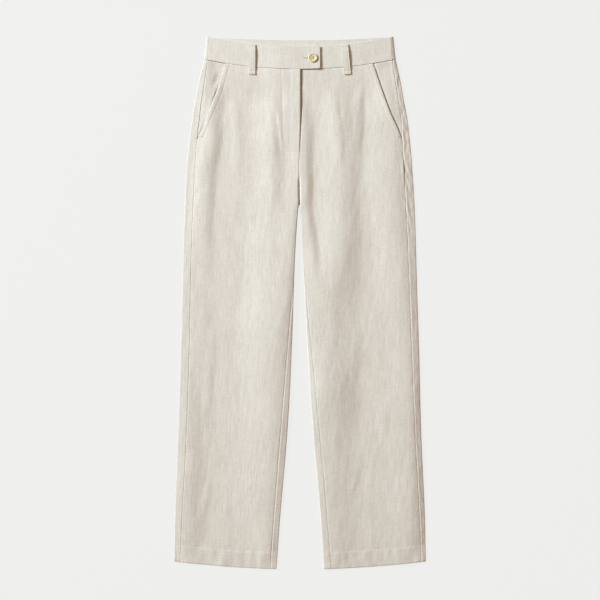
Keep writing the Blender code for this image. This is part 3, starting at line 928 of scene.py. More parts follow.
@dataclass
class ClothPiece:
    """A cut piece of cloth, from a grid of places on its middle surface."""

    name: str
    places: Field
    across: Field
    along: Field
    wall: float
    rounding: float = 0.35

    def build(self, finish: bpy.types.Material) -> bpy.types.Object:
        """Makes the mesh, its UV map in cloth lengths, and its wall.

        Args:
            finish: The material.

        Returns:
            The object.
        """
        down, across = self.places.shape[0] - 1, self.places.shape[1] - 1
        shape = bmesh.new()
        bmesh.ops.create_grid(shape, x_segments=across, y_segments=down, size=0.5)
        piece = new_object(self.name, shape, finish)
        mesh = piece.data
        flat = np.empty(len(mesh.vertices) * 3, np.float32)
        mesh.vertices.foreach_get("co", flat)
        flat = flat.reshape(-1, 3)
        column = np.rint((flat[:, 0] + 0.5) * across).astype(int)
        row = np.rint((0.5 - flat[:, 1]) * down).astype(int)
        mesh.vertices.foreach_set("co", self.places[row, column].astype(np.float32).ravel())
        corner = np.empty(len(mesh.loops), np.int32)
        mesh.loops.foreach_get("vertex_index", corner)
        along, over = (np.broadcast_to(values, self.places.shape[:2]) for values in (self.along, self.across))
        uv = np.stack((over[row, column], along[row, column]), axis=-1) * MM / UV_SPAN
        layer = mesh.uv_layers.new(name="cloth")
        layer.data.foreach_set("uv", uv[corner].astype(np.float32).ravel())
        mesh.update()
        wall = piece.modifiers.new("wall", "SOLIDIFY")
        wall.thickness = self.wall * MM
        wall.offset = 0.0
        edge = piece.modifiers.new("turned_edge", "BEVEL")
        edge.width = self.rounding * MM
        edge.segments = 2
        edge.limit_method = "ANGLE"
        edge.angle_limit = math.radians(55)
        return piece

    def cut(self) -> tuple[float, float, float]:
        """The width, length and area of the cloth as it was cut, in metres.

        Returns:
            Width, length and area.
        """
        across = np.linalg.norm(np.diff(self.places, axis=1), axis=2)
        down = np.linalg.norm(np.diff(self.places, axis=0), axis=2)
        width, length = float(across.sum(1).max()), float(down.sum(0).max())
        first = self.places[1:, 1:] - self.places[:-1, :-1]
        second = self.places[1:, :-1] - self.places[:-1, 1:]
        area = float(np.linalg.norm(np.cross(first, second), axis=2).sum() / 2)
        return width, length, min(area, width * length)

    def declare(
        self, piece: bpy.types.Object, rests_on: Sequence[str], with_pieces: Sequence[bpy.types.Object] = ()
    ) -> None:
        """Works out the width, length and area of the cloth as it was cut, and does nothing more with them.

        Args:
            piece: The object; not used.
            rests_on: What it lies on; not used.
            with_pieces: The pieces that go with it; not used.
        """
        width, length, area = self.cut()


def cloth_lengths(places: Field) -> Field:
    """How far along its row each place is, in millimetres of cloth."""
    steps = np.linalg.norm(np.diff(places, axis=1), axis=2) / MM
    return np.concatenate((np.zeros((places.shape[0], 1)), np.cumsum(steps, axis=1)), axis=1)


def steps(*stops: tuple[float, int]) -> Field:
    """Values from 0 through stops of (value, number of steps up to it).

    Args:
        stops: Pairs of a value and the steps up to it.

    Returns:
        The values.
    """
    values = [0.0]
    for stop, count in stops:
        values += list(np.linspace(values[-1], stop, count + 1)[1:])
    return np.array(values)


@dataclass(frozen=True)
class StitchRun:
    """A row of stitches along places on the face of the cloth, in metres."""

    places: Field
    length: float = 2.5
    pitch: float = 3.1
    width: float = 0.5
    height: float = 0.32

    def add_to(self, shape: bmesh.types.BMesh) -> None:
        """Adds each stitch to a bmesh, along the run's own direction.

        Args:
            shape: The bmesh.
        """
        paces = np.linalg.norm(np.diff(self.places, axis=0), axis=1)
        walked = np.concatenate(([0.0], np.cumsum(paces))) / MM
        for middle in np.arange(self.pitch / 2, walked[-1], self.pitch):
            near = [middle - self.length / 2, middle, middle + self.length / 2]
            stops = (Vector([np.interp(walk, walked, self.places[:, k]) for k in range(3)]) for walk in near)
            self.add_stitch(shape, *stops)

    def add_stitch(self, shape: bmesh.types.BMesh, start: Vector, at: Vector, end: Vector) -> None:
        """Adds one stitch that runs from start to end.

        Args:
            shape: The bmesh.
            start: Where it starts.
            at: Its middle.
            end: Where it ends.
        """
        along = (end - start).normalized()
        over = along.cross(Vector((0.0, 0.0, 1.0))).normalized()
        turn = Matrix((over, along.cross(over), along)).transposed().to_4x4()
        size = Matrix.Diagonal((self.width / 2 * MM, self.height / 2 * MM, self.length / 2 * MM, 1.0))
        place = Matrix.Translation(at) @ turn @ size
        bmesh.ops.create_uvsphere(shape, u_segments=6, v_segments=4, radius=1.0, matrix=place)


def sew(name: str, runs: Sequence[StitchRun], finish: bpy.types.Material) -> bpy.types.Object:
    """Joins runs of stitches as one piece that rides on the frame.

    Args:
        name: The name to give it.
        runs: The runs of stitches.
        finish: The material.

    Returns:
        The stitches, as one object.
    """
    shape = bmesh.new()
    for run in runs:
        run.add_to(shape)
    return hand_over(new_object(name, shape, finish), Slot.LINEN)


# Sub-assemblies ----------------------------------------------------------------------------------


@dataclass
class FrontPanel:
    """A front, from the pocket opening and side seam to the centre front and inseam."""

    side: Side
    lay: Lay
    columns: int = 104
    welt_height: float = 0.2
    pocket_stitch: float = 9.0
    gape: float = 0.8
    slot_depth: float = 3.4
    fly_stitch: FlyStitch = field(default_factory=FlyStitch)

    def outer_end(self, drop: Field) -> Field:
        """How far out the panel reaches.

        Args:
            drop: Down from the top of the back waistband.

        Returns:
            The reach.
        """
        pattern = self.lay.pattern
        seam = pattern.side_seam(self.side, drop) - pattern.seam_gap / 2
        return np.where(drop < pattern.pocket_end, pattern.pocket_line(self.side, drop), seam)

    def inner_end(self, drop: Field) -> Field:
        """How far out the panel begins, at the centre front or the inseam.

        Args:
            drop: Down from the top of the back waistband.

        Returns:
            The start.
        """
        pattern = self.lay.pattern
        centre = self.side.value * pattern.centre_line(drop) + pattern.seam_gap / 2
        if self.side is Side.LEFT:
            above = 1.0 - smooth_step(drop, pattern.fly_end - 26.0, pattern.fly_end)
            centre = centre - self.lay.underlap_seam * above
        return np.where(drop > pattern.crotch, pattern.inseam(self.side, drop) + pattern.seam_gap / 2, centre)

    def height(self, x: Field, drop: Field) -> Field:
        """The middle of the panel's cloth, with its tucks, edges and rows of stitching.

        Args:
            x: Across from the centre front.
            drop: Down from the top of the back waistband.

        Returns:
            The heights.
        """
        lay, pattern, side = self.lay, self.lay.pattern, self.side
        out = side.value * x
        level = lay.upper_level(side, x, drop)
        from_outer, from_inner = self.outer_end(drop) - out, out - self.inner_end(drop)
        at_pocket = 1.0 - smooth_step(drop, pattern.pocket_end - 5.0, pattern.pocket_end + 1.0)
        share = np.clip((drop - pattern.band_depth) / (pattern.pocket_end - pattern.band_depth), 0.0, 1.0)
        welt = smooth_step(from_outer, -0.5, 2.0) * (1.0 - smooth_step(from_outer, 6.8, 9.0))
        stitched = 0.25 * bell(from_outer - self.pocket_stitch, 0.9)
        level = level + at_pocket * (self.welt_height * welt - stitched)
        gaping = at_pocket * self.gape * np.sin(math.pi * share) ** 0.5
        level = level + gaping * (1.0 - smooth_step(from_outer, 0.0, 26.0))
        if side is Side.LEFT:
            level = level - 0.3 * at_pocket * bell(from_outer, 1.2)
        level = level + (1.0 - at_pocket) * lay.seam_relief(side, x, drop)
        below_fly = smooth_step(drop, pattern.fly_end + 4.0, pattern.fly_end + 16.0)
        crotch = pattern.crotch
        slot = smooth_step(drop, 274.0, 296.0) * (1.0 - smooth_step(drop, crotch - 2.0, crotch + 3.0))
        level = level - 0.5 * below_fly * (drop < crotch) * bell(from_inner, 1.1)
        level = level - self.slot_depth * slot * bell(from_inner, 1.7)
        if side is Side.RIGHT:
            level = level + lay.fly_lift(x, drop) + (1.0 - below_fly) * self.fly_flare(x, drop, from_inner)
            level = level - 0.4 * bell(self.fly_stitch.distance(x, drop), 1.1)
            level = level - 0.25 * (1.0 - below_fly) * bell(x + 20.0, 3.0)
        else:
            cleft = bell(x - pattern.centre_line(drop) - 0.9, 1.1) * (1.0 - smooth_step(drop, 186.0, 210.0))
            beside = smooth_step(drop, 80.0, 140.0) * (1.0 - smooth_step(drop, 186.0, 230.0))
            level = level + 1.1 * (1.0 - smooth_step(x, 3.0, 22.0)) * beside - 2.6 * cleft
        level = level - 0.4 * bell(drop - pattern.band_depth, 1.8)
        return level + hem_relief(pattern, x, drop)

    def fly_flare(self, x: Field, drop: Field, from_edge: Field) -> Field:
        """How the right front's free edge rises along the fly, up to the turned edge itself.

        Args:
            x: Across from the centre front.
            drop: Down from the top of the back waistband.
            from_edge: In from the free edge.

        Returns:
            The rise.
        """
        rise = 1.0 - 0.6 * smooth_step(drop, 110.0, 200.0)
        turned_edge = 0.3 * smooth_step(x, -7.0, -1.0) - 0.3 * bell(from_edge, 0.9)
        return rise * smooth_step(x, -36.0, -4.0) + turned_edge

    def face(self, x: Field, drop: Field) -> Field:
        """Places on the upper face of the panel."""
        height = self.height(x, drop) + self.lay.cloth / 2 + STITCH_SEAT
        return self.lay.pattern.place(x, drop, height, self.lay.pattern.front_dip)

    def cloth(self) -> ClothPiece:
        """The panel's grid of places.

        Returns:
            The cloth.
        """
        pattern = self.lay.pattern
        rows = steps((6.0, 6), (157.4, 64), (291.7, 54), (970.0, 176), (1014.0, 22), (1020.7, 8))
        drops = pattern.band_depth + pattern.seam_gap + rows
        near_outer, near_inner = steps((1.5, 3), (8.0, 5), (10.0, 3), (13.0, 2)), steps((1.5, 3), (10.0, 5))
        if self.side is Side.RIGHT:
            near_inner = steps((1.5, 3), (6.0, 4), (41.0, 22))
        drop = drops[:, None]
        outer, inner = self.outer_end(drop), self.inner_end(drop)
        count = self.columns - len(near_outer) - len(near_inner)
        between = np.linspace(0.0, 1.0, count + 2)[None, 1:-1]
        first, last = inner + near_inner[-1], outer - near_outer[-1]
        middle = first + (last - first) * between
        out = np.concatenate((inner + near_inner, middle, outer - near_outer[::-1]), axis=1)
        x = self.side.value * out
        x = x if self.side is Side.LEFT else x[:, ::-1]
        places = pattern.place(x, drop, self.height(x, drop), pattern.front_dip)
        return ClothPiece("front_%s_linen" % self.side.label, places, x + UV_START, drop, self.lay.cloth)

    def build(self, linen: bpy.types.Material, thread: bpy.types.Material) -> None:
        """Lays the panel and sews what is stitched on it.

        Args:
            linen: The material of the cloth.
            thread: The material of the stitches.
        """
        cloth = self.cloth()
        panel = hand_over(cloth.build(linen), Slot.LINEN, "front_" + self.side.label)
        sewn = sew("front_%s_stitching" % self.side.label, self.stitching(), thread)
        cloth.declare(panel, ["back_" + self.side.label], [sewn])

    def stitching(self) -> list[StitchRun]:
        """The rows of stitching on the panel.

        Returns:
            The runs of stitches.
        """
        pattern, side = self.lay.pattern, self.side
        drops = np.arange(48.0, pattern.pocket_end - 3.0, 1.0)
        x = side.value * (pattern.pocket_line(side, drops) - self.pocket_stitch)
        runs = [StitchRun(self.face(x, drops))]
        for drop, width in ((50.0, 8.5), (pattern.pocket_end - 5.0, 8.0)):
            out = pattern.pocket_line(side, drop) - np.linspace(0.6, width, 12)
            runs += bar_tack(self.face(side.value * out, np.full(12, drop)))
        if side is Side.RIGHT:
            runs.append(StitchRun(self.face(*self.fly_stitch.places())))
            runs += bar_tack(self.face(np.linspace(-8.0, -1.6, 10), np.full(10, 221.0)))
        line = pattern.length - pattern.hem_depth
        start, end = self.inner_end(np.array(line)) + 2.0, self.outer_end(np.array(line)) - 2.0
        x = np.linspace(start, end, 160) * side.value
        runs.append(StitchRun(self.face(x, np.full(160, line)), length=1.3, pitch=6.5, width=0.4, height=0.3))
        return runs


def hem_relief(pattern: Pattern, x: Field, drop: Field) -> Field:
    """What the turned-up hem adds: a second layer, a row of pulled stitches and puckers.

    Args:
        pattern: The sizes of the garment.
        x: Across from the centre front.
        drop: Down from the top of the back waistband.

    Returns:
        The added height.
    """
    line = pattern.length - pattern.hem_depth
    pulled = 0.22 * bell(drop - line, 1.5)
    double = 0.3 * smooth_step(drop, line - 0.5, line + 2.5)
    double = double * (1.0 - smooth_step(drop, pattern.length - 2.0, pattern.length))
    puckers = Crumple(41, 7.0, 13.0, 0.22).relief(x, drop) * bell(drop - line, 10.0)
    ripples = Crumple(42, 17.0, 36.0, 0.9).relief(x, drop) * smooth_step(drop, line - 8.0, line + 8.0)
    return double - pulled + puckers + ripples - 0.35 * bell(pattern.length - drop, 1.2)


def bar_tack(places: Field) -> list[StitchRun]:
    """A short dense bar: two lengths of thread under a close zigzag, as three runs side by side."""
    beside = np.array([0.0, 0.45 * MM, 0.0])
    return [StitchRun(places + beside * k, 1.1, 0.75, 0.55, 0.45) for k in (-1, 0, 1)]


@dataclass
class BackPanel:
    """A back, from the side seam on the upper face, round under the leg, to its inner end."""

    side: Side
    lay: Lay
    wrap_lead: float = 6.0

    def ring(self, drop: float) -> tuple[Field, Field]:
        """One row of the panel's cloth, as x and height.

        Args:
            drop: Down from the top of the back waistband.

        Returns:
            x and height.
        """
        lay, pattern, side = self.lay, self.lay.pattern, self.side
        low, middle = float(lay.back_level(drop)), float(lay.edge_level(drop))
        edge = float(pattern.outer_edge(side, drop)) - lay.cloth / 2
        seam = float(pattern.side_seam(side, drop)) + pattern.seam_gap / 2
        share = np.concatenate(([0.0, 0.02, 0.05], np.sin(np.linspace(0.09, math.pi / 2, 17))))
        out = seam + (edge - seam) * share
        heights = self.upper(out, drop)
        turn = np.linspace(0.0, math.pi / 2, 8)[1:]
        turned = edge - lay.edge_turn * (1.0 - np.cos(turn))
        turned_heights = middle - (middle - low) * np.sin(turn)
        end_out, end_heights = self.inner_end(drop, low, middle)
        between = np.linspace(0.0, 1.0, 50)[1:-1]
        under = turned[-1] + (end_out[0] - turned[-1]) * between
        lifted = lay.under_relief(side.value * under, np.full(under.shape, drop))
        ease = smooth_step(between, 0.0, 0.06) * (1.0 - smooth_step(between, 0.94, 1.0))
        all_out = np.concatenate((out, turned, under, end_out))
        all_heights = np.concatenate((heights, turned_heights, low + lifted * ease, end_heights))
        return side.value * all_out, all_heights

    def upper(self, out: Field, drop: float) -> Field:
        """The height of the strips that show on the upper face.

        Args:
            out: Out from the middle line.
            drop: Down from the top of the back waistband.

        Returns:
            The heights.
        """
        drops = np.full(out.shape, drop)
        x = self.side.value * out
        level = self.lay.upper_level(self.side, x, drops) + self.lay.seam_relief(self.side, x, drops)
        return level + hem_relief(self.lay.pattern, x, drops)

    def inner_end(self, drop: float, low: float, middle: float) -> tuple[Field, Field]:
        """The last stretch: flat to the centre seam or, below the crotch, round the inner edge.

        Args:
            drop: Down from the top of the back waistband.
            low: The height of the lower layer.
            middle: Where the stretch begins.

        Returns:
            x and height.
        """
        lay, pattern, side = self.lay, self.lay.pattern, self.side
        count = 26
        if drop <= pattern.crotch:
            end = side.value * float(pattern.centre_line(drop)) + pattern.seam_gap / 2
            return end + np.linspace(self.wrap_lead, 0.0, count), np.full(count, low)
        grown = min(max(drop - pattern.curl_start, 0.0) / (pattern.curl_end - pattern.curl_start), 1.0)
        inner = float(pattern.inner_edge(side, drop)) + lay.cloth / 2
        inseam = float(pattern.inseam(side, drop)) - pattern.seam_gap / 2
        turn = np.linspace(0.0, math.pi / 2, 9)
        radius = lay.edge_turn * min(2.0 * grown, 1.0)
        out = np.concatenate(([inner + radius + self.wrap_lead], inner + radius * (1.0 - np.sin(turn))))
        height = np.concatenate(([low], low + (middle - low) * (1.0 - np.cos(turn))))
        share = np.cos(np.linspace(0.0, math.pi / 2, 14))[1:]
        strip = inseam - max(inseam - inner, 0.0) * share
        out = np.concatenate((out, strip))
        height = np.concatenate((height, self.upper(strip, drop)))
        walked = np.concatenate(([0.0], np.cumsum(np.hypot(np.diff(out), np.diff(height)))))
        reach = self.wrap_lead + (walked[-1] - self.wrap_lead) * grown
        at = np.linspace(0.0, reach, count)
        return np.interp(at, walked, out), np.interp(at, walked, height)

    def cloth(self) -> ClothPiece:
        """The panel's grid of places.

        Returns:
            The cloth.
        """
        pattern = self.lay.pattern
        rows = steps((5.0, 4), (289.0, 80), (314.0, 16), (980.0, 160), (1020.7, 16))
        drops = pattern.band_depth + pattern.seam_gap + rows
        rings = [self.ring(float(drop)) for drop in drops]
        x, height = np.array([ring[0] for ring in rings]), np.array([ring[1] for ring in rings])
        if self.side is Side.RIGHT:
            x, height = x[:, ::-1], height[:, ::-1]
        drop = drops[:, None]
        height = height - 0.4 * bell(drop - pattern.band_depth, 1.8) * (height > 4.0)
        places = pattern.place(x, drop, height, pattern.back_dip)
        name = "back_%s_linen" % self.side.label
        return ClothPiece(name, places, cloth_lengths(places), drop, self.lay.cloth)

    def build(self, linen: bpy.types.Material) -> None:
        """Lays the panel.

        Args:
            linen: The material of the cloth.
        """
        cloth = self.cloth()
        panel = hand_over(cloth.build(linen), Slot.LINEN, "back_" + self.side.label)
        cloth.declare(panel, ["floor"])


@dataclass
class PocketFacing:
    """The side piece that shows inside a slanted pocket opening."""

    side: Side
    lay: Lay
    wall: float = 1.0
    under_front: float = 16.0
    end_drop: float = 216.0
    fall: float = 1.9

    def build(self, linen: bpy.types.Material) -> None:
        """Lays the facing under the front's edge, and up to the side seam.

        Args:
            linen: The material of the cloth.
        """
        lay, pattern, side = self.lay, self.lay.pattern, self.side
        drops = pattern.band_depth + 1.0 + steps((self.end_drop - pattern.band_depth - 1.0, 70))
        drop = drops[:, None]
        seam = pattern.side_seam(side, drop) - pattern.seam_gap / 2
        opening = pattern.pocket_line(side, drop)
        first, share = opening - self.under_front, np.linspace(0.0, 1.0, 44)[None, :] ** 0.8
        out = first + (seam - first) * share
        x = side.value * out
        height = lay.upper_level(side, x, drop) - lay.layer_step
        shown = smooth_step(out, opening + 0.5, opening + 6.0)
        if side is Side.LEFT:
            height = height + 0.25 + 0.5 * shown - 0.5 * bell(out - opening - 0.6, 0.8)
            lift, reach = 0.6, 8.0
        else:
            height = height - 0.3 * shown - 2.1 * bell(out - opening - 1.6, 1.8) * bell(drop - 110.0, 19.0)
            near_opening = 1.0 - smooth_step(out, opening + 7.0, opening + 18.0)
            height = height - self.fall * near_opening * bell(drop - 79.0, 13.0)
            lift, reach = 1.4 + 0.4 * (1.0 - smooth_step(drop, 85.0, 125.0)), 20.0
        near_seam = 1.0 - smooth_step(seam - out, 0.0, reach)
        lift = lift * near_seam * smooth_step(out, opening + 0.3, opening + 3.5)
        groove = smooth_step(seam - opening, 2.0, 6.0) * (0.2 + 0.2 * SEAM_PULLS.relief(x, drop))
        height = height + lift - groove * bell(seam - out, 0.8)
        height = height + 0.9 * (1.0 - smooth_step(drop, 46.0, 58.0)) * shown
        x, height = (x, height) if side is Side.LEFT else (x[:, ::-1], height[:, ::-1])
        places = pattern.place(x, drop, height, pattern.front_dip)
        cloth = ClothPiece("pocket_facing_%s_linen" % side.label, places, x + UV_START, drop, self.wall)
        facing = hand_over(cloth.build(linen), Slot.LINEN, "pocket_facing_" + side.label)
        cloth.declare(facing, ["back_" + side.label])


@dataclass
class FlyUnderlap:
    """The strip sewn to the left front's edge, hidden under the right front's fly."""

    lay: Lay
    end_above: float = 18.0

    def build(self, linen: bpy.types.Material) -> None:
        """Lays the strip.

        Args:
            linen: The material of the cloth.
        """
        lay, pattern = self.lay, self.lay.pattern
        top = pattern.band_depth + pattern.seam_gap
        drop = (top + steps((pattern.fly_end - self.end_above - top, 40)))[:, None]
        end = pattern.centre_line(drop) - lay.underlap_seam - pattern.seam_gap / 2
        x = end - (lay.fly_width - lay.underlap_seam) * np.linspace(1.0, 0.0, 12)[None, :]
        height = lay.upper_level(Side.LEFT, x, drop, crumpled=False)
        height = height - 0.5 * bell(drop - pattern.band_depth, 2.0)
        places = pattern.place(x, drop, height, pattern.front_dip)
        cloth = ClothPiece("fly_underlap_linen", places, x + UV_START, drop, lay.cloth)
        strip = hand_over(cloth.build(linen), Slot.LINEN, "fly_underlap")
        cloth.declare(strip, ["back_left"])


@dataclass
class Waistband:
    """The waistband: two front halves, of which the right ends in the tab, and the back."""

    lay: Lay
    tab_end: float = 40.0
    tab_corner: float = 3.0
    tab_rise: float = 0.6
    corner_rise: float = 0.6
    edge_level: float = 3.5
    side_low: float = 1.7
    middle_drop: float = 22.0

    def rows(self) -> Field:
        """The drops of the band's rows, closer together at its edges."""
        depth = self.lay.pattern.band_depth
        return steps((1.5, 2), (depth - 1.5, 18), (depth, 2))

    def front_level(self, side: Side, x: Field, drop: Field) -> Field:
        """The middle of a front half of the band.

        Args:
            side: The leg, or half of the band.
            x: Across from the centre front.
            drop: Down from the top of the back waistband.

        Returns:
            The heights.
        """
        lay = self.lay
        level = lay.band_high + sum(crumple.relief(x, drop) for crumple in BAND_CRUMPLES)
        if side is Side.RIGHT:
            lap = lay.fly_lift(x, np.full_like(x, lay.pattern.band_depth))
            level = level + lap + self.tab_rise * smooth_step(x, 14.0, self.tab_end)
            corner = smooth_step(x, 22.0, self.tab_end) * smooth_step(drop, 12.0, lay.pattern.band_depth)
            level = level + self.corner_rise * corner
        return level

    def face(self, x: Field, drop: Field) -> Field:
        """Places on the upper face of the right half, tab included."""
        height = self.front_level(Side.RIGHT, x, drop) + self.lay.band_cloth / 2 + STITCH_SEAT
        return self.lay.pattern.place(x, drop, height, self.lay.pattern.front_dip)

    def front(self, side: Side) -> ClothPiece:
        """One front half, with rounded corners where it ends in the tab.

        Args:
            side: The leg, or half of the band.

        Returns:
            The cloth.
        """
        pattern, depth = self.lay.pattern, self.lay.pattern.band_depth
        share = (self.rows() / depth)[:, None]
        seam = -float(pattern.side_seam(side, self.middle_drop)) + 0.02
        corner = self.tab_end - self.tab_corner
        if side is Side.RIGHT:
            turn = self.tab_end - self.tab_corner * (1.0 - np.sin(np.linspace(0, math.pi / 2, 7)[1:]))
            x = np.concatenate((np.linspace(seam, corner, 110), turn))[None, :]
            turned = np.clip((x - corner) / self.tab_corner, 0.0, 1.0)
        else:
            x = np.linspace(float(pattern.centre_line(0.0)) - self.lay.fly_width, -seam, 100)[None, :]
            turned = 0.0 * x
        inset = self.tab_corner * (1.0 - np.sqrt(1.0 - turned * turned))
        drop = inset + (depth - 2.0 * inset) * share
        slant = pattern.side_seam(side, drop) - pattern.side_seam(side, self.middle_drop)
        x = x + side.value * slant * smooth_step(side.value * x, 120.0, 182.0)
        places = pattern.place(x, drop, self.front_level(side, x, drop), pattern.front_dip)
        name = "waistband_%s_linen" % side.label
        return ClothPiece(name, places, x + UV_START, drop, self.lay.band_cloth, 0.5)

    def back(self) -> ClothPiece:
        """The back, round both sides to the side seams.

        Returns:
            The cloth.
        """
        lay, pattern = self.lay, self.lay.pattern
        rows_x, rows_height, drops = [], [], self.rows()
        for drop in drops:
            ends = {}
            for side in Side:
                seam = float(pattern.side_seam(side, drop)) + 0.02
                edge = float(pattern.outer_edge(side, drop)) - lay.band_cloth / 2
                share = np.sin(np.linspace(0.0, math.pi / 2, 9))
                turn = np.linspace(0.0, math.pi / 2, 7)[1:]
                out = np.concatenate((seam + (edge - seam) * share, edge - 1.9 * (1.0 - np.cos(turn))))
                high = self.edge_level + (lay.band_high - self.edge_level) * lay.round_down(side, share)
                fallen = self.edge_level - (self.edge_level - self.side_low) * np.sin(turn)
                ends[side] = (side.value * out, np.concatenate((high, fallen)))
            start, end = ends[Side.RIGHT][0][-1], ends[Side.LEFT][0][-1]
            flat = start + (end - start) * np.linspace(0.0, 1.0, 92)[1:-1]
            away = np.minimum(flat - start, end - flat)
            level = self.side_low + (lay.band_low - self.side_low) * smooth_step(away, 0.0, 40.0)
            crumpled = sum(crumple.relief(flat, np.full(flat.shape, drop)) for crumple in BAND_CRUMPLES)
            level = level + np.maximum(crumpled, -0.1)
            rows_x.append(np.concatenate((ends[Side.RIGHT][0], flat, ends[Side.LEFT][0][::-1])))
            rows_height.append(np.concatenate((ends[Side.RIGHT][1], level, ends[Side.LEFT][1][::-1])))
        drop = drops[:, None]
        places = pattern.place(np.array(rows_x), drop, np.array(rows_height), pattern.back_dip)
        return ClothPiece("waistband_back_linen", places, cloth_lengths(places), drop, lay.band_cloth, 0.8)

    def buttonhole(self, start_x: float, end_x: float, drop: float) -> tuple[list[StitchRun], StitchRun]:
        """The close stitches round the buttonhole, and the slit between them, drawn as a dark strip of
        painted shade.

        Args:
            start_x: Where the hole starts, across.
            end_x: Where the hole ends, across.
            drop: Down from the top of the back waistband.

        Returns:
            The stitches, and the slit's strip of painted shade.
        """
        runs = []
        for over in (-1.0, 1.0):
            for x in np.arange(start_x, end_x, 0.5):
                pair = self.face(np.array([x, x + 0.01]), np.array([drop + over * 0.35, drop + over * 1.9]))
                runs.append(StitchRun(pair, length=1.5, pitch=1.5, width=0.5, height=0.5))
        for x in (start_x - 0.4, start_x - 0.8):
            pair = self.face(np.array([x, x + 0.01]), np.array([drop - 1.8, drop + 1.8]))
            runs.append(StitchRun(pair, length=3.4, pitch=3.5, width=0.5, height=0.55))
        # The slit is a thin dark strip laid on the band: painted shade for the shadow inside the hole.
        middle = np.linspace(start_x, end_x, 20)
        slit = self.face(middle, np.full(20, drop))
        return runs, StitchRun(slit, length=end_x - start_x, pitch=end_x - start_x, width=0.6, height=0.3)

    def build(self, linen: bpy.types.Material, thread: bpy.types.Material, painted_shade: bpy.types.Material) -> None:
        """Lays the three parts of the band and sews the buttonhole.

        Args:
            linen: The material of the cloth.
            thread: The material of the stitches.
            painted_shade: The dark material of the slit, painted shade in place of the shadow inside it.
        """
        holes, slit = self.buttonhole(6.4, 27.0, 22.9)
        sewn = sew("buttonhole_stitching", holes, thread)
        # The slit's dark strip is painted shade, standing for the shadow inside the buttonhole.
        dark = sew("buttonhole_slit_painted_shade", [slit], painted_shade)
        for side in Side:
            cloth = self.front(side)
            band = hand_over(cloth.build(linen), Slot.LINEN, "waistband_" + side.label)
            cloth.declare(band, ["waistband_back"], [sewn, dark] if side is Side.RIGHT else [])
        cloth = self.back()
        band = hand_over(cloth.build(linen), Slot.LINEN, "waistband_back")
        cloth.declare(band, ["belt_loop_back_right", "belt_loop_back_centre", "belt_loop_back_left"])


@dataclass(frozen=True)
class BeltLoop:
    """A folded and twice-stitched strap over the waistband."""

    node: str
    top_x: float
    bottom_x: float
    in_front: bool
    width: float = 14.0
    start: float = 0.8
    end: float = 61.0
    bow: float = 1.8
    edge_stitch: float = 2.0

    def middle(self, drop: Field) -> Field:
        """The x of the loop's middle."""
        return self.top_x + (self.bottom_x - self.top_x) * (drop - self.start) / (self.end - self.start)

    def height(self, lay: Lay, over: Field, drop: Field) -> Field:
        """The middle of the loop's cloth at a distance over from its middle line.

        Args:
            lay: How high each layer lies.
            over: Across from the middle line.
            drop: Down from the top of the back waistband.

        Returns:
            The heights.
        """
        ridge = -0.22 * bell(np.abs(over) - (self.width / 2 - self.edge_stitch), 0.8)
        if not self.in_front:
            return lay.loop_cloth / 2 + 0.0 * (over + drop)
        side, depth = (Side.RIGHT if self.top_x < 0 else Side.LEFT), lay.pattern.band_depth
        on_band = lay.band_high + lay.band_cloth / 2
        panel = lay.upper_level(side, self.middle(drop), np.maximum(drop, depth), crumpled=False)
        on_panel = panel + lay.cloth / 2
        base = on_band + (on_panel - on_band) * smooth_step(drop, depth + 2.0, self.end - 4.0)
        bow = self.bow * smooth_step(drop, self.start, 14.0) * (1.0 - smooth_step(drop, 26.0, self.end - 3.0))
        folded = 1.0 - smooth_step(drop, 4.0, 6.0) + smooth_step(drop, self.end - 6.0, self.end - 4.0)
        return base + bow + 0.5 * folded + ridge + 0.45 + lay.loop_cloth / 2

    def places(self, lay: Lay, over: Field, drop: Field, proud: float = 0.0) -> Field:
        """Places on the loop, proud of its middle surface by so many millimetres.

        Args:
            lay: How high each layer lies.
            over: Across from the middle line.
            drop: Down from the top of the back waistband.
            proud: How far above the surface.

        Returns:
            The places, in metres.
        """
        pattern = lay.pattern
        dip = pattern.front_dip if self.in_front else pattern.back_dip
        return pattern.place(self.middle(drop) + over, drop, self.height(lay, over, drop) + proud, dip)

    def build(self, lay: Lay, linen: bpy.types.Material, thread: bpy.types.Material) -> None:
        """Lays the loop and sews its edges and its two bar tacks.

        Args:
            lay: How high each layer lies.
            linen: The material of the cloth.
            thread: The material of the stitches.
        """
        drop = (self.start + steps((1.0, 2), (59.2, 44), (60.2, 2)))[:, None]
        half = self.width / 2
        over = (steps((3.0, 6), (self.width - 3.0, 7), (self.width, 6)) - half)[None, :]
        x = self.middle(drop) + over
        places = self.places(lay, over, drop)
        cloth = ClothPiece(self.node + "_linen", places, x + UV_START, drop, lay.loop_cloth, 0.5)
        loop = hand_over(cloth.build(linen), Slot.LINEN, self.node)
        proud = (1 if self.in_front else -1) * (lay.loop_cloth / 2 - (0.02 if self.in_front else 0.12))
        down = np.linspace(self.start + 2.0, self.end - 2.0, 60)
        inset = half - self.edge_stitch
        runs = [StitchRun(self.places(lay, np.full(60, x), down, proud)) for x in (-inset, inset)]
        bar = np.linspace(0.8 - half, half - 0.8, 24)
        for at in (self.start + 3.4, self.end - 3.4):
            runs += bar_tack(self.places(lay, bar, np.full(24, at), proud))
        sewn = sew(self.node + "_stitching", runs, thread)
        rests = ["waistband_right" if self.top_x < 0 else "waistband_left"] if self.in_front else ["floor"]
        cloth.declare(loop, rests, [sewn])


BELT_LOOPS = (
    BeltLoop("belt_loop_front_right", -96.0, -96.0, True),
    BeltLoop("belt_loop_front_left", 89.0, 95.0, True),
    BeltLoop("belt_loop_back_right", -112.0, -112.0, False),
    BeltLoop("belt_loop_back_centre", 0.0, 0.0, False),
    BeltLoop("belt_loop_back_left", 112.0, 112.0, False),
)


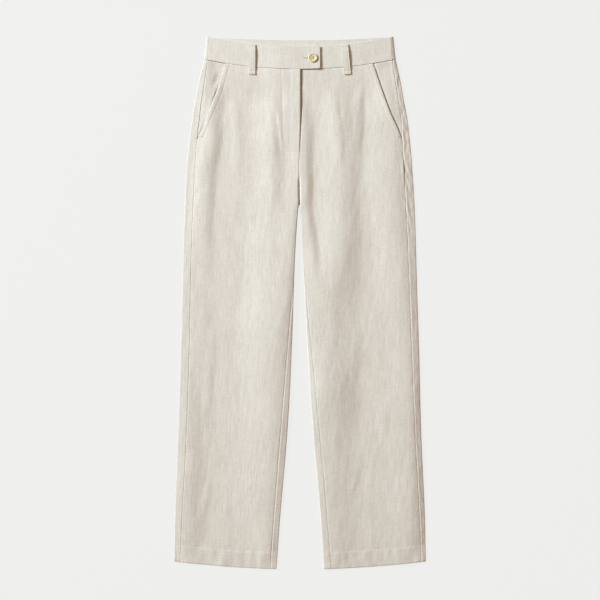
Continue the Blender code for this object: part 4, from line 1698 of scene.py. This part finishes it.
@dataclass
class Button:
    """A four-hole button with a rounded rim and a dished face, sewn on with crossed thread."""

    band: Waistband
    x: float = 25.4
    drop: float = 42.8
    radius: float = 9.3
    thickness: float = 3.2
    hole_radius: float = 0.9
    hole_spread: float = 1.75

    def profile(self) -> tuple[tuple[float, float], ...]:
        """Half the button's section, as shares of the radius and heights from its middle.

        Returns:
            Shares and heights.
        """
        half = self.thickness / 2
        return (
            (0.0, half - 1.0), (0.35, half - 1.0), (0.56, half - 0.92), (0.66, half - 0.62),
            (0.73, half - 0.22), (0.80, half - 0.03), (0.87, half), (0.94, half - 0.22),
            (0.985, half - 0.7), (1.0, half - 1.25), (0.985, half - 1.8), (0.93, 0.6 - half),
            (0.84, 0.15 - half), (0.75, -half), (0.0, -half),
        )

    def middle(self) -> Vector:
        """The button's middle, in metres.

        Returns:
            The middle.
        """
        lay = self.band.lay
        tab_top = lay.band_high + lay.band_lap + lay.band_cloth / 2
        height = tab_top + lay.pattern.seam_gap + self.thickness / 2
        return Vector((self.x * MM, (lay.pattern.middle_drop - self.drop) * MM, height * MM))

    def turned(self) -> bmesh.types.BMesh:
        """The button without its holes, turned round its own axis.

        Returns:
            The bmesh.
        """
        shape, middle = bmesh.new(), self.middle()
        section = [Vector((share * self.radius * MM, 0.0, height * MM)) for share, height in self.profile()]
        points = [shape.verts.new(middle + place) for place in section]
        edges = [shape.edges.new(pair) for pair in zip(points, points[1:])]
        bmesh.ops.spin(
            shape, geom=points + edges, cent=middle, axis=(0.0, 0.0, 1.0),
            angle=2.0 * math.pi, steps=56, use_merge=True,
        )
        bmesh.ops.remove_doubles(shape, verts=shape.verts[:], dist=1e-6)
        bmesh.ops.recalc_face_normals(shape, faces=shape.faces[:])
        return shape

    def holes(self) -> list[Vector]:
        """The middles of the four holes.

        Returns:
            The middles of the four holes, in metres.
        """
        reach = self.hole_spread * MM
        corners = ((1, 1), (-1, 1), (-1, -1), (1, -1))
        return [self.middle() + Vector((reach * a, reach * b, 0.0)) for a, b in corners]

    def build(self, horn: bpy.types.Material, thread: bpy.types.Material) -> None:
        """Makes the button, bores its holes, and sews it on.

        Args:
            horn: The material of the button.
            thread: The material of the stitches.
        """
        button = new_object("button_horn", self.turned(), horn)
        drill = bmesh.new()
        for hole in self.holes():
            bmesh.ops.create_cone(
                drill, cap_ends=True, segments=20, depth=0.01, matrix=Matrix.Translation(hole),
                radius1=self.hole_radius * MM, radius2=self.hole_radius * MM,
            )
        cutter = new_object("button_drill", drill, horn)
        cut = button.modifiers.new("holes", "BOOLEAN")
        cut.object, cut.operation, cut.solver = cutter, "DIFFERENCE", "EXACT"
        bored = bpy.data.meshes.new_from_object(button.evaluated_get(bpy.context.evaluated_depsgraph_get()))
        button.modifiers.clear()
        button.data = bored
        bored.shade_smooth()
        smooth = button.modifiers.new("crisp_holes", "EDGE_SPLIT")
        smooth.split_angle = math.radians(50)
        bpy.data.objects.remove(cutter, do_unlink=True)
        hand_over(button, Slot.BUTTON, "button")
        face, holes, runs = Vector((0.0, 0.0, (self.thickness / 2 - 0.85) * MM)), self.holes(), []
        for first, second in ((0, 2), (1, 3)):
            for over in (-0.28, 0.28):
                beside = Vector((0.0, over * MM, 0.0))
                ends = np.array([holes[first] + face + beside, holes[second] + face + beside])
                runs.append(StitchRun(ends, length=5.2, pitch=4.9, width=0.55, height=0.5))
        sew("button_thread", runs, thread)


@dataclass
class Studio:
    """The pale floor, the soft light from the upper left, and the camera straight above."""

    floor_size: float = 40.0
    floor_gap: float = 0.0003
    key_distance: float = 5.3
    key_height_deg: float = 30.0
    key_turn_deg: float = 150.0
    key_size: float = 1.25
    key_power: float = 382.0
    key_colour: tuple[float, float, float] = (0.90, 1.0, 1.10)
    fill: tuple[float, float, float] = (0.380, 0.270, 0.190)
    camera_y: float = 0.0059
    camera_height: float = 2.8393

    def floor(self) -> None:
        """A large pale floor that gives some light of its own, so that shadows stay faint."""
        bench = NodeBench("pale_floor")
        grain = bench.noise(bench.add("TexCoord").outputs["Object"], (900.0, 900.0, 900.0), 2.0)
        bench.raise_by(grain, 0.1, 0.0002)
        bench.gloss({"Base Color": (0.05, 0.05, 0.05, 1.0), "Roughness": 1.0, "Specular IOR Level": 0.0})
        bench.gloss({"Emission Color": (1.0, 1.0, 0.985, 1.0), "Emission Strength": 0.814})
        shape, under = bmesh.new(), Matrix.Translation((0.0, 0.0, -self.floor_gap))
        bmesh.ops.create_grid(shape, x_segments=1, y_segments=1, size=self.floor_size / 2, matrix=under)
        new_object("floor", shape, bench.material)

    def lights(self) -> None:
        """The key light and the even fill."""
        turn, rise = math.radians(self.key_turn_deg), math.radians(self.key_height_deg)
        towards = Vector((math.cos(turn) * math.cos(rise), math.sin(turn) * math.cos(rise), math.sin(rise)))
        light = bpy.data.lights.new("window_light", "AREA")
        light.shape, light.size = "DISK", self.key_size
        light.energy, light.color = self.key_power, self.key_colour
        lamp = bpy.data.objects.new("window_light", light)
        lamp.location = towards * self.key_distance
        lamp.rotation_euler = towards.to_track_quat("Z", "Y").to_euler()
        bpy.context.scene.collection.objects.link(lamp)
        world = bpy.data.worlds.new("even_fill")
        world.use_nodes = True
        world.node_tree.nodes["Background"].inputs["Color"].default_value = (*self.fill, 1.0)
        bpy.context.scene.world = world

    def camera(self) -> None:
        """A camera straight above the garment, its top towards the waist."""
        lens = bpy.data.cameras.new("overhead")
        lens.lens, lens.sensor_width, lens.clip_end = 85.0, 36.0, 100.0
        camera = bpy.data.objects.new("overhead", lens)
        camera.location = (0.0, self.camera_y, self.camera_height)
        bpy.context.scene.collection.objects.link(camera)
        bpy.context.scene.camera = camera
        bpy.context.scene.view_settings.view_transform = "Standard"

    def build(self) -> None:
        """Sets out the whole studio."""
        self.floor()
        self.lights()
        self.camera()


def main() -> None:
    """Builds the trousers and the studio."""
    logging.basicConfig(level=logging.INFO, format="%(name)s %(message)s")
    lay = Lay()
    linen = Linen("natural_linen").build()
    thread = SewingThread("matching_thread").build()
    # A dark colour for the buttonhole's slit: painted shade, not a thread's own colour.
    painted_shade = SewingThread("buttonhole_painted_shade", (0.16, 0.13, 0.10)).build()
    horn = PaleHorn("cream_horn").build()
    band = Waistband(lay)
    for side in Side:
        BackPanel(side, lay).build(linen)
        FrontPanel(side, lay, gape=1.6 if side is Side.LEFT else 0.6).build(linen, thread)
        PocketFacing(side, lay).build(linen)
    FlyUnderlap(lay).build(linen)
    band.build(linen, thread, painted_shade)
    for loop in BELT_LOOPS:
        loop.build(lay, linen, thread)
    Button(band).build(horn, SewingThread("button_yarn", (0.42, 0.34, 0.20)).build())
    Studio().build()


if __name__ == "__main__":
    main()
